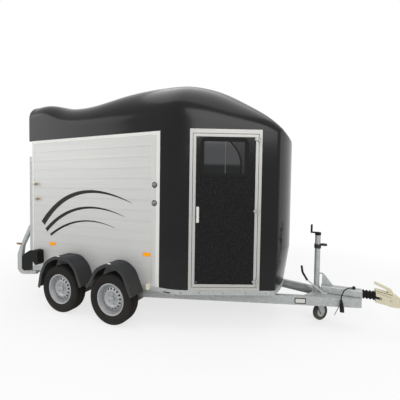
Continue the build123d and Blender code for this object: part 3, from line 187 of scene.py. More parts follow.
def new_node(tree: bpy.types.NodeTree, kind: str, inputs: dict[str | int, object],
             **settings: object) -> bpy.types.Node:
    """A shader node with its inputs linked or set.

    Args:
        tree: The tree that it goes in.
        kind: Its type, as the part of the type's name after ShaderNode.
        inputs: For each input, a socket to link or a value to set.
        settings: Its other properties, which are set first.

    Returns:
        The node.
    """
    node = tree.nodes.new(f"ShaderNode{kind}")
    for name, value in settings.items():
        setattr(node, name, value)
    for name, value in inputs.items():
        if isinstance(value, bpy.types.NodeSocket):
            tree.links.new(value, node.inputs[name])
        else:
            node.inputs[name].default_value = value
    return node


class ShaderGroups:
    """The node groups that several finishes share, each built once."""

    def __init__(self) -> None:
        self.built: dict[str, bpy.types.NodeTree] = {}

    def new(self, name: str, inputs: list[tuple[str, str, object]],
            outputs: list[tuple[str, str]]) -> tuple[bpy.types.NodeTree, bpy.types.Node, bpy.types.Node]:
        """Starts a node group with named sockets.

        Args:
            name: The group's name.
            inputs: Name, socket type and default value of each input.
            outputs: Name and socket type of each output.

        Returns:
            The group's tree with its input and output nodes.
        """
        tree = bpy.data.node_groups.new(name, "ShaderNodeTree")
        for label, kind, value in inputs:
            socket = tree.interface.new_socket(label, in_out="INPUT", socket_type=kind)
            if value is not None:
                socket.default_value = value
        for label, kind in outputs:
            tree.interface.new_socket(label, in_out="OUTPUT", socket_type=kind)
        self.built[name] = tree
        return tree, tree.nodes.new("NodeGroupInput"), tree.nodes.new("NodeGroupOutput")

    def pattern(self, kind: Pattern) -> bpy.types.NodeTree:
        """The group that draws one pattern as a mask from 0 to 1.

        Args:
            kind: The pattern.

        Returns:
            A group with a Scale input and Mask and Height outputs.
        """
        name = f"pattern_{kind.name.lower()}"
        if name in self.built:
            return self.built[name]
        tree, start, end = self.new(name, [("Scale", "NodeSocketFloat", 10.0)],
                                    [("Mask", "NodeSocketFloat"), ("Height", "NodeSocketFloat")])
        place = new_node(tree, "TexCoord", {}).outputs["Object"]
        stretch = BRUSH_STRETCH if kind is Pattern.BRUSHED else (1.0, 1.0, 1.0)
        source = new_node(tree, "Mapping", {"Vector": place, "Scale": stretch}).outputs["Vector"]
        pattern = {"Vector": source, "Scale": start.outputs["Scale"]}
        if kind is Pattern.WEAVE:
            mask = self.weave(tree, pattern)
        # Painted reflection: the colour turns lighter above a height, where the sky would be reflected.
        elif kind is Pattern.PAINTED_REFLECTION:
            height = new_node(tree, "SeparateXYZ", {"Vector": source}).outputs["Z"]
            low, high = PAINTED_REFLECTION_BAND
            mask = new_node(tree, "MapRange", {"Value": height, "From Min": low, "From Max": high},
                            interpolation_type="SMOOTHSTEP").outputs["Result"]
        elif kind is Pattern.SPANGLE:
            cells = new_node(tree, "TexVoronoi", pattern)
            mask = new_node(tree, "SeparateColor", {"Color": cells.outputs["Color"]}).outputs["Red"]
        elif kind in CELL_BANDS:
            cells = new_node(tree, "TexVoronoi", pattern)
            low, high = CELL_BANDS[kind]
            band = {"Value": cells.outputs["Distance"], "From Min": low, "From Max": high}
            mask = new_node(tree, "MapRange", band).outputs["Result"]
        else:
            mask = new_node(tree, "TexNoise", {**pattern, **CLOUDS}).outputs["Fac"]
        tree.links.new(mask, end.inputs["Mask"])
        tree.links.new(mask, end.inputs["Height"])
        return tree

    def weave(self, tree: bpy.types.NodeTree, pattern: dict[str, bpy.types.NodeSocket]) -> bpy.types.NodeSocket:
        """Crossing threads, from two sets of bands.

        Args:
            tree: The group being built.
            pattern: The coordinates and the scale.

        Returns:
            The socket that holds the threads' height.
        """
        bands = [new_node(tree, "TexWave", pattern, wave_type="BANDS", bands_direction=direction).outputs["Fac"]
                 for direction in ("Y", "Z")]
        return new_node(tree, "Math", dict(enumerate(bands)), operation="MULTIPLY").outputs["Value"]

    def road_dust(self) -> bpy.types.NodeTree:
        """Dust that gathers low on the trailer and in uneven patches.

        Returns:
            A group with Colour, Roughness, Amount and Top inputs, and Colour and Roughness outputs.
        """
        if "road_dust" in self.built:
            return self.built["road_dust"]
        tree, start, end = self.new(
            "road_dust",
            [("Colour", "NodeSocketColor", (0.5, 0.5, 0.5, 1.0)), ("Roughness", "NodeSocketFloat", 0.5),
             ("Amount", "NodeSocketFloat", 0.1), ("Top", "NodeSocketFloat", 0.6)],
            [("Colour", "NodeSocketColor"), ("Roughness", "NodeSocketFloat")],
        )
        place = new_node(tree, "TexCoord", {}).outputs["Object"]
        height = new_node(tree, "SeparateXYZ", {"Vector": place}).outputs["Z"]
        fall = {"Value": height, "From Min": 0.0, "From Max": start.outputs["Top"], "To Min": 1.0, "To Max": 0.0}
        low = new_node(tree, "MapRange", fall).outputs["Result"]
        patches = new_node(tree, "TexNoise", {"Vector": place, **DUST_PATCHES}).outputs["Fac"]
        share = new_node(tree, "Math", {0: low, 1: patches}, operation="MULTIPLY").outputs["Value"]
        amount = new_node(tree, "Math", {0: share, 1: start.outputs["Amount"]}, operation="MULTIPLY")
        cover = new_node(tree, "Math", {0: amount.outputs["Value"], 1: DUST_GAIN}, operation="MULTIPLY",
                         use_clamp=True).outputs["Value"]
        mix = new_node(tree, "Mix", {"Factor": cover, "A": start.outputs["Colour"], "B": DUST_COLOUR},
                       data_type="RGBA")
        rough = new_node(tree, "MapRange", {"Value": cover, "To Min": start.outputs["Roughness"],
                                            "To Max": DUST_ROUGHNESS})
        tree.links.new(mix.outputs["Result"], end.inputs["Colour"])
        tree.links.new(rough.outputs["Result"], end.inputs["Roughness"])
        return tree


class Paintshop:
    """Makes each finish into a material and puts it on pieces."""

    def __init__(self) -> None:
        self.groups = ShaderGroups()
        self.materials = {finish.name: self.mix(finish) for finish in FINISHES}
        self.slots = {finish.name: finish.slot for finish in FINISHES}

    def mix(self, finish: Finish) -> bpy.types.Material:
        """Builds one material.

        Args:
            finish: Its colour, gloss and pattern.

        Returns:
            The material.
        """
        material = bpy.data.materials.new(finish.name)
        material.use_nodes = True
        tree = material.node_tree
        shader = tree.nodes["Principled BSDF"]
        pattern = new_node(tree, "Group", {"Scale": finish.scale}, node_tree=self.groups.pattern(finish.pattern))
        mask = pattern.outputs["Mask"]
        shades = {"Factor": mask, "A": (*finish.colour, 1.0), "B": (*finish.second, 1.0)}
        colour = new_node(tree, "Mix", shades, data_type="RGBA").outputs["Result"]
        rough = new_node(tree, "MapRange", {"Value": mask, "To Min": finish.roughness,
                                            "To Max": finish.roughness + finish.spread}).outputs["Result"]
        dusted = {"Colour": colour, "Roughness": rough, "Amount": finish.dust, "Top": finish.dust_top}
        dust = new_node(tree, "Group", dusted, node_tree=self.groups.road_dust())
        tree.links.new(dust.outputs["Colour"], shader.inputs["Base Color"])
        tree.links.new(dust.outputs["Roughness"], shader.inputs["Roughness"])
        if finish.bump:
            relief = {"Strength": finish.bump, "Distance": finish.depth, "Height": pattern.outputs["Height"]}
            tree.links.new(new_node(tree, "Bump", relief).outputs["Normal"], shader.inputs["Normal"])
        shader.inputs["Metallic"].default_value = finish.metallic
        shader.inputs["Coat Weight"].default_value = finish.coat
        shader.inputs["Coat Roughness"].default_value = COAT_ROUGHNESS
        shader.inputs["Specular IOR Level"].default_value = finish.specular
        material.diffuse_color = (*finish.colour, 1.0)
        return material

    def paint(self, piece: bpy.types.Object, finish: str) -> None:
        """Puts one finish on a whole piece.

        Args:
            piece: The piece, a CAD node or a new one.
            finish: The finish's name.
        """
        piece.data.materials.clear()
        piece.data.materials.append(self.materials[finish])


def turned(profile: Outline, steps: int = 32, closed: bool = False) -> bmesh.types.BMesh:
    """A part turned on a lathe about its own Z.

    Args:
        profile: Radius and height of each point of the outline.
        steps: Sides of a full turn.
        closed: Whether the outline returns to its start, as a ring's does.

    Returns:
        The part.
    """
    part = bmesh.new()
    spots = [part.verts.new((radius, 0.0, height)) for radius, height in profile]
    pairs = list(zip(spots, spots[1:]))
    if closed:
        pairs.append((spots[-1], spots[0]))
    edges = [part.edges.new(pair) for pair in pairs]
    bmesh.ops.spin(part, geom=spots + edges, cent=(0, 0, 0), axis=(0, 0, 1), angle=math.tau, steps=steps,
                   use_merge=True)
    bmesh.ops.remove_doubles(part, verts=part.verts, dist=MERGE_REACH)
    bmesh.ops.recalc_face_normals(part, faces=part.faces)
    return part


@dataclass(frozen=True)
class PlateSize:
    """The size of a flat plate, with the radii of its corners and of the edge of its face."""

    width: float
    height: float
    thickness: float
    corner: float
    edge: float = 0.0


def plate(size: PlateSize) -> bmesh.types.BMesh:
    """A flat plate with rounded corners, standing on Z = 0 with its face up.

    Args:
        size: Its size along X, Y and Z, and its radii.

    Returns:
        The part.
    """
    part = bmesh.new()
    middle = size.thickness / 2
    bmesh.ops.create_cube(part, size=1.0)
    bmesh.ops.scale(part, vec=(size.width, size.height, size.thickness), verts=part.verts)
    bmesh.ops.translate(part, vec=(0, 0, middle), verts=part.verts)
    upright = [line for line in part.edges if abs(line.verts[0].co.z - line.verts[1].co.z) > middle]
    bmesh.ops.bevel(part, geom=upright, offset=size.corner, affect="EDGES", segments=5, profile=0.5, material=-1)
    if size.edge:
        rim = [line for line in part.edges if all(vert.co.z > middle for vert in line.verts)]
        bmesh.ops.bevel(part, geom=rim, offset=size.edge, affect="EDGES", segments=2, profile=0.5, material=-1)
    return part


def strip(first: Outline, second: Outline, thickness: float) -> bmesh.types.BMesh:
    """A flat strip between two lines of points, with its face up.

    Args:
        first: Points along one edge.
        second: As many points along the other edge.
        thickness: Size along Z.

    Returns:
        The part.
    """
    part = bmesh.new()
    rails = []
    for line in (first, second):
        spots = [part.verts.new((x, y, 0.0)) for x, y in line]
        rails.extend(part.edges.new(pair) for pair in zip(spots, spots[1:]))
    bmesh.ops.bridge_loops(part, edges=rails)
    made = bmesh.ops.extrude_face_region(part, geom=part.faces[:])["geom"]
    raised = [item for item in made if isinstance(item, bmesh.types.BMVert)]
    bmesh.ops.translate(part, vec=(0, 0, thickness), verts=raised)
    bmesh.ops.recalc_face_normals(part, faces=part.faces)
    return part


def placed(origin: Spot | Vector, along: Vector) -> Matrix:
    """The place of a part whose X runs along a level direction and whose Y runs up.

    Args:
        origin: Where the part's origin goes.
        along: The direction of the part's X.

    Returns:
        The part's matrix.
    """
    turn = Matrix((along, UP, along.cross(UP))).transposed()
    return Matrix.Translation(origin) @ turn.to_4x4()


def on_wall(x: float, z: float, side: int, out: float = BODY_HALF) -> Matrix:
    """The place of a part that faces outwards on a side wall.

    Args:
        x: Its place along the trailer.
        z: Its height.
        side: -1 on the trailer's right and 1 on its left.
        out: Distance of the wall's face from the middle.

    Returns:
        The part's matrix.
    """
    return placed((x, side * out, z), Vector((-side, 0, 0)))


def on_slant(s: float, z: float, out: float) -> Matrix:
    """The place of a part that faces outwards on the slanted side with the door.

    Args:
        s: Distance forward of the door frame's rear edge.
        z: Its height.
        out: Height above the moulding.

    Returns:
        The part's matrix.
    """
    along = Vector((math.cos(NOSE_SLANT), math.sin(NOSE_SLANT), 0))
    outwards = Vector((math.sin(NOSE_SLANT), -math.cos(NOSE_SLANT), 0))
    turn = Vector((NOSE_TURN_X, -BODY_HALF, z))
    return placed(turn + along * (DOOR_FRAME_START + s) + outwards * out, along)


def joined(*parts: tuple[bmesh.types.BMesh, Matrix]) -> bmesh.types.BMesh:
    """One mesh of several parts, each in its place.

    Args:
        parts: Each part with its matrix.

    Returns:
        The mesh.
    """
    whole = bmesh.new()
    for part, place in parts:
        bmesh.ops.transform(part, matrix=place, verts=part.verts)
        mesh = bpy.data.meshes.new("part")
        part.to_mesh(mesh)
        part.free()
        whole.from_mesh(mesh)
        bpy.data.meshes.remove(mesh)
    return whole


@dataclass
class SubAssembly:
    """A group of the trailer's pieces, with the finish of each of its CAD nodes."""

    shop: Paintshop
    nodes: dict[str, bpy.types.Object]
    finishes: dict[str, str] = field(default_factory=dict)

    def add(self, name: str, form: bmesh.types.BMesh, finish: str, body: str = "trailer",
            replaced: tuple[str, ...] = ()) -> bpy.types.Object:
        """Makes a form into a finished piece that rides on a body.

        Args:
            name: The piece's name.
            form: Its mesh, in its place.
            finish: Its finish.
            body: The body that it rides on.
            replaced: The CAD nodes that it stands for.

        Returns:
            The piece.
        """
        mesh = bpy.data.meshes.new(name)
        form.to_mesh(mesh)
        form.free()
        mesh.polygons.foreach_set("use_smooth", [True] * len(mesh.polygons))
        mesh.set_sharp_from_angle(angle=SHARP_ANGLE)
        piece = bpy.data.objects.new(name, mesh)
        bpy.context.scene.collection.objects.link(piece)
        self.shop.paint(piece, finish)
        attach(piece, body)
        if replaced:
            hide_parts(*replaced)
        return piece

    def dress(self) -> None:
        """Gives each CAD node of the group its finish."""
        for name, finish in self.finishes.items():
            if name in self.nodes:
                self.shop.paint(self.nodes[name], finish)

    def build(self) -> list[bpy.types.Object]:
        """Builds the group's new pieces.

        Returns:
            The pieces.
        """
        return []


@dataclass
class Body(SubAssembly):
    """The moulded shell, the planked walls, the chassis below and what is fixed to them."""

    finishes: dict[str, str] = field(default_factory=lambda: {
        "roof_shell": "black_gelcoat", "front_shell": "black_gelcoat", "wall_panels": "silver_plank",
        "wall_frames": "white_paint", "chassis_rails": "galvanised_zinc", "cross_members": "galvanised_zinc",
        "sill_strip": "galvanised_zinc", "rear_frame": "galvanised_zinc", "drawbar_plate": "galvanised_zinc",
        "floor_deck": "floor_ply", "side_reflectors": "amber_lens", "marker_lamps": "cream_lens",
        "wheel_chocks": "black_rubber", "mudguards_left": "black_moulded", "mudguards_right": "black_moulded",
        "rear_lamp_housings": "black_rubber", "rear_lamp_lenses": "red_lens", "rear_canvas": "dark_canvas",
        "stall_bars": "galvanised_zinc", "partition_panel": "padded_vinyl",
    })
    post_bolts: Outline = field(default_factory=lambda: [(-0.124, 1.571), (-0.126, 1.372)])
    arm_bolts: Outline = field(default_factory=lambda: [(-1.966, 1.575), (-1.942, 1.374)])
    dome_outline: Outline = field(default_factory=lambda: [
        (0, 0.024), (0.01, 0.0228), (0.018, 0.018), (0.021, 0.009), (0.025, 0.006), (0.025, 0), (0, 0),
    ])
    ring_outline: Outline = field(default_factory=lambda: [
        (0.024, 0.003), (0.0315, 0.003), (0.033, 0.001), (0.033, 0), (0.024, 0),
    ])
    knob_outline: Outline = field(default_factory=lambda: [
        (0, 0.032), (0.01, 0.031), (0.019, 0.025), (0.02, 0.016), (0.011, 0.011), (0.011, 0), (0, 0),
    ])
    arm: PlateSize = PlateSize(0.1, 0.02, 0.006, corner=0.009, edge=0.001)
    arm_reach: float = 0.035
    arm_lift: float = 0.0005
    post_strip: tuple[float, float, float, float] = (-0.166, -0.107, 0.449, 2.114)
    strip_thickness: float = 0.0016
    strip_corner: float = 0.001
    strip_edge: float = 0.0005
    stripe_sweeps: list[tuple[Outline, float]] = field(default_factory=lambda: [
        ([(-1.86, 1.05), (-1.32, 1.72), (-0.42, 1.36)], 0.075),
        ([(-1.80, 0.96), (-1.26, 1.46), (-0.52, 1.20)], 0.05),
        ([(-1.72, 0.90), (-1.22, 1.24), (-0.66, 1.06)], 0.03),
    ])
    stripe_steps: int = 32
    stripe_taper: float = 0.8
    stripe_tip: float = 0.0015
    stripe_thickness: float = 0.0005
    plank_depth: float = 0.0019
    guard_top: float = 0.695
    guard_edge: float = 1.0825
    clip: PlateSize = PlateSize(0.042, 0.012, 0.007, corner=0.003, edge=0.001)
    clip_ahead: float = 0.01
    clip_lift: float = 0.0055
    canvas_half: float = 0.858
    canvas_low: float = 1.949
    canvas_spring: float = 2.46
    canvas_crown: float = 2.704
    canvas_x: float = -2.0785
    canvas_shoulder: float = 0.75
    canvas_thickness: float = 0.0012
    fold_depth: float = 0.007
    fold_rate: float = 9.0
    fold_lean: float = 2.5
    ripple_depth: float = 0.004
    ripple_rate: float = 23.0
    partition_middle: Spot = (-0.96, 0.0, 1.341)
    partition_size: Spot = (1.656, 0.996, 0.0195)
    partition_squareness: tuple[int, int] = (16, 12)
    channels: int = 4
    seam_width: float = 0.08
    seam_depth: float = 0.3
    mirror_reach: float = 1e-5
    # A black plate painted as the shade inside the sill's slot.
    sill_slot: PlateSize = PlateSize(0.087, 0.012, 0.001, corner=0.0055)
    sill_slot_place: tuple[float, float] = (0.04, 0.407)
    sill_screws: tuple[float, ...] = (-0.08, 0.12, 0.379, 0.62, 0.84)
    sill_height: float = 0.416
    screw_outline: Outline = field(default_factory=lambda: [
        (0, 0.004), (0.004, 0.0035), (0.0065, 0.001), (0.0065, 0), (0, 0),
    ])
    rail_slope: float = 0.3044
    rail_plate: PlateSize = PlateSize(0.104, 0.044, 0.0016, corner=0.002)
    rail_plate_edge: PlateSize = PlateSize(0.123, 0.064, 0.0012, corner=0.003)
    rail_plate_middle: Spot = (1.387, -0.2432, 0.299)

    def bolts(self, name: str, side: int) -> list[bpy.types.Object]:
        """Domed bolts on the front post and the brass knobs on arms at the rear of one wall.

        Args:
            name: The side's name.
            side: Its sign.

        Returns:
            The pieces.
        """
        caps = [(turned(self.dome_outline, steps=24), on_wall(x, z, side)) for x, z in self.post_bolts]
        face = BODY_HALF + self.strip_thickness
        rings = [(turned(self.ring_outline, steps=24, closed=True), on_wall(x, z, side, face))
                 for x, z in self.post_bolts]
        arms = [(plate(self.arm), on_wall(x - self.arm_reach, z, side, BODY_HALF + self.arm_lift))
                for x, z in self.arm_bolts]
        face = BODY_HALF + self.arm.thickness
        knobs = [(turned(self.knob_outline, steps=20), on_wall(x, z, side, face)) for x, z in self.arm_bolts]
        return [
            self.add(f"post_bolts_{name}", joined(*caps), "chrome_cap"),
            self.add(f"bolt_rings_{name}", joined(*rings), "black_rubber"),
            self.add(f"rear_arms_{name}", joined(*arms), "galvanised_zinc"),
            self.add(f"rear_knobs_{name}", joined(*knobs), "worn_brass"),
        ]

    def post_cover(self, name: str, side: int) -> bpy.types.Object:
        """The silver strip along the inner part of the wall's front post.

        Args:
            name: The side's name.
            side: Its sign.

        Returns:
            The piece.
        """
        rear, front, low, high = self.post_strip
        size = PlateSize(front - rear, high - low, self.strip_thickness, self.strip_corner, self.strip_edge)
        place = on_wall((rear + front) / 2, (low + high) / 2, side)
        return self.add(f"post_cover_{name}", joined((plate(size), place)), "post_silver")

    def stripes(self, name: str, side: int) -> bpy.types.Object:
        """Three plain tapered stripes that sweep forward along the planks.

        Args:
            name: The side's name.
            side: Its sign.

        Returns:
            The piece.
        """
        parts = []
        for (start, bend, end), width in self.stripe_sweeps:
            edges = ([], [])
            for step in range(self.stripe_steps + 1):
                t = step / self.stripe_steps
                spot = [(1 - t) ** 2 * a + 2 * t * (1 - t) * b + t * t * c for a, b, c in zip(start, bend, end)]
                way = Vector([(1 - t) * (b - a) + t * (c - b) for a, b, c in zip(start, bend, end)])
                way.normalize()
                half = width / 2 * (1 - t) ** self.stripe_taper + self.stripe_tip
                for line, sign in zip(edges, (-1, 1)):
                    forward = spot[0] - sign * way.y * half - AXLE_X
                    line.append((-side * forward, spot[1] + sign * way.x * half))
            face = on_wall(AXLE_X, 0.0, side, BODY_HALF - self.plank_depth)
            parts.append((strip(*edges, self.stripe_thickness), face))
        return self.add(f"wall_stripes_{name}", joined(*parts), "black_film")

    def guard_clips(self, name: str, side: int) -> bpy.types.Object:
        """The small pale clips on both mudguards' outer edges.

        Args:
            name: The side's name.
            side: Its sign.

        Returns:
            The piece.
        """
        height = self.guard_top + self.clip_lift
        clips = [(plate(self.clip), on_wall(x + self.clip_ahead, height, side, self.guard_edge))
                 for x in WHEEL_XS.values()]
        return self.add(f"guard_clips_{name}", joined(*clips), "pale_label")

    def canvas(self) -> bpy.types.Object:
        """The cloth that closes the opening over the ramp, with slack folds.

        Returns:
            The piece.
        """
        shape = bmesh.new()
        bmesh.ops.create_grid(shape, x_segments=72, y_segments=36, size=1.0)
        height = self.canvas_crown - self.canvas_spring
        shoulder = self.canvas_shoulder * height
        inner = self.canvas_half - shoulder
        radius = (inner**2 + height**2 - shoulder**2) / (2 * (height - shoulder))
        centre = self.canvas_crown - radius
        meet = radius * math.sin(math.atan2(inner, self.canvas_spring - centre))
        for vert in shape.verts:
            y = vert.co.x * self.canvas_half
            if abs(y) < meet:
                top = centre + math.sqrt(radius**2 - y**2)
            else:
                top = self.canvas_spring + math.sqrt(max(0.0, shoulder**2 - (abs(y) - inner) ** 2))
            rise = (vert.co.y + 1) / 2
            vert.co = Vector((self.canvas_x, y, self.canvas_low + rise * (top - self.canvas_low)))
        area = sum(face.calc_area() for face in shape.faces)
        for vert in shape.verts:
            rise = (vert.co.z - self.canvas_low) / (self.canvas_crown - self.canvas_low)
            across = vert.co.y / self.canvas_half
            fold = self.fold_depth * math.sin(self.fold_rate * across + self.fold_lean * rise)
            ripple = self.ripple_depth * math.sin(self.ripple_rate * across)
            vert.co.x += (1 - across**2) * (1 - rise) * (fold + ripple)
        piece = self.add("rear_curtain", shape, "dark_canvas", replaced=("rear_canvas",))
        thickness = piece.modifiers.new("cloth_thickness", "SOLIDIFY")
        thickness.thickness = self.canvas_thickness
        return piece

    def partition(self) -> bpy.types.Object:
        """The padded panel between the two stalls, sewn in level channels.

        Returns:
            The piece.
        """
        shape = bmesh.new()
        bmesh.ops.create_grid(shape, x_segments=60, y_segments=64, size=1.0)
        length, height, half = self.partition_size
        level, upright = self.partition_squareness
        for vert in shape.verts:
            u, v = vert.co.x, vert.co.y
            crown = (max(0.0, 1 - abs(u) ** level) * max(0.0, 1 - abs(v) ** upright)) ** 0.5
            channel = v * self.channels
            seam = math.exp(-((channel - round(channel)) / self.seam_width) ** 2)
            vert.co = Vector((u * length / 2, v * height / 2, half * crown * (1 - self.seam_depth * seam)))
        everything = shape.verts[:] + shape.edges[:] + shape.faces[:]
        bmesh.ops.mirror(shape, geom=everything, axis="Z", merge_dist=self.mirror_reach)
        bmesh.ops.remove_doubles(shape, verts=shape.verts, dist=self.mirror_reach)
        bmesh.ops.recalc_face_normals(shape, faces=shape.faces)
        place = placed(self.partition_middle, Vector((1, 0, 0)))
        piece = self.add("partition_pad", joined((shape, place)), "padded_vinyl", replaced=("partition_panel",))
        return piece

    def sill_details(self) -> list[bpy.types.Object]:
        """The sill's slot, as a black plate painted as the shade inside it, the sill's screws and the blank
        plate on the drawbar.

        Returns:
            The pieces.
        """
        sill = on_wall(*self.sill_slot_place, SIDES["right"])
        screws = [(turned(self.screw_outline, steps=16), on_slant(s, self.sill_height, 0.0))
                  for s in self.sill_screws]
        lean = math.atan(self.rail_slope)
        rail = placed(self.rail_plate_middle, Vector((math.cos(lean), math.sin(lean), 0)))
        return [
            # Painted shade: the slot is a black plate, not an opening.
            self.add("sill_slot", joined((plate(self.sill_slot), sill)), "black_rubber"),
            self.add("sill_screws", joined(*screws), "chrome_cap"),
            self.add("rail_plate_edge", joined((plate(self.rail_plate_edge), rail)), "black_rubber"),
            self.add("rail_plate", joined((plate(self.rail_plate), rail)), "pale_label"),
        ]

    def build(self) -> list[bpy.types.Object]:
        """Builds the trims, bolts, stripes, curtain and partition.

        Returns:
            The pieces.
        """
        pieces = [self.canvas(), self.partition(), *self.sill_details()]
        for name, side in SIDES.items():
            pieces += self.bolts(name, side)
            pieces += [self.post_cover(name, side), self.stripes(name, side), self.guard_clips(name, side)]
        return pieces


@dataclass
class SideDoor(SubAssembly):
    """The door in the slanted side with its frame, window, handle and hinges."""

    finishes: dict[str, str] = field(default_factory=lambda: {
        "door_frame": "bright_aluminium", "door_leaf": "speckled_black", "door_leaf_frame": "bright_aluminium",
        # The door glass carries a painted sky reflection on its upper part.
        "door_window_frame": "black_rubber", "door_glass": "grey_glass", "door_handle": "pale_handle",
        "door_hinge_straps": "hinge_metal",
    })
    glass_face: float = 0.005
    leaf_face: float = 0.006
    handle_place: tuple[float, float] = (0.165, 1.262)
    rail_place: tuple[float, float] = (0.376, 1.87)
    rail: PlateSize = PlateSize(0.006, 0.345, 0.003, corner=0.001)
    band_reach: tuple[float, float] = (0.009, 0.007)
    band_thickness: float = 0.004
    blind_edge: Outline = field(default_factory=lambda: [
        (0.384, 2.045), (0.426, 2.034), (0.465, 1.997), (0.498, 1.953), (0.524, 1.903), (0.540, 1.846),
        (0.546, 1.787), (0.546, 1.697),
    ])
    blind_end: float = 0.588
    blind_thickness: float = 0.001
    screws: Outline = field(default_factory=lambda: [
        (0.086, 2.078), (0.694, 2.078), (0.086, 0.536), (0.694, 0.536),
    ])
    screw_outline: Outline = field(default_factory=lambda: [
        (0, 0.0035), (0.004, 0.003), (0.0065, 0.001), (0.0065, 0), (0, 0),
    ])
    dish_outline: Outline = field(default_factory=lambda: [
        (0, 0.0008), (0.03, 0.0008), (0.041, 0.0035), (0.046, 0.0035), (0.049, 0), (0, 0),
    ])

    def window(self) -> list[bpy.types.Object]:
        """The rail down the window, the curved band and the blind to the right of it.

        Returns:
            The pieces.
        """
        place = on_slant(0.0, 0.0, self.glass_face)
        upright = on_slant(*self.rail_place, self.glass_face)
        behind, ahead = self.band_reach
        rear_edge = [(s - behind, z) for s, z in self.blind_edge]
        front_edge = [(s + ahead, z) for s, z in self.blind_edge]
        band = strip(rear_edge, front_edge, self.band_thickness)
        blind = strip(self.blind_edge, [(self.blind_end, z) for _, z in self.blind_edge], self.blind_thickness)
        return [
            self.add("window_rail", joined((plate(self.rail), upright)), "window_rail", "side_door"),
            self.add("window_band", joined((band, place)), "black_rubber", "side_door"),
            self.add("window_blind", joined((blind, place)), "window_blind", "side_door"),
        ]

    def build(self) -> list[bpy.types.Object]:
        """Builds the window's inner pieces, the dish behind the handle and the screws.

        Returns:
            The pieces.
        """
        heads = [(turned(self.screw_outline, steps=16), on_slant(s, z, self.leaf_face)) for s, z in self.screws]
        dish = (turned(self.dish_outline, steps=40), on_slant(*self.handle_place, self.leaf_face))
        return [
            *self.window(),
            self.add("handle_dish", joined(dish), "black_rubber", "side_door"),
            self.add("leaf_screws", joined(*heads), "chrome_cap", "side_door"),
        ]


@dataclass
class Ramp(SubAssembly):
    """The loading ramp at the rear."""

    finishes: dict[str, str] = field(default_factory=lambda: {
        "ramp_frame": "white_paint", "ramp_panel": "silver_plank", "ramp_cleats": "black_rubber",
        "ramp_latches": "worn_brass",
    })


@dataclass(frozen=True)
class WheelPlace:
    """One of the four road wheels, by its axle and its side."""

    end: str
    side: str
    track_half: float = 0.99
    radius: float = 0.288

    @property
    def label(self) -> str:
        """The wheel's name, as its CAD nodes end."""
        return f"{self.end}_{self.side}"

    @property
    def hub(self) -> Matrix:
        """The place of a part that is turned about the wheel's axis, with its Z outwards."""
        sign = SIDES[self.side]
        centre = Matrix.Translation((WHEEL_XS[self.end], sign * self.track_half, self.radius))
        return centre @ Matrix.Rotation(-sign * math.pi / 2, 4, "X")


WHEELS = [WheelPlace(end, side) for end in WHEEL_XS for side in SIDES]


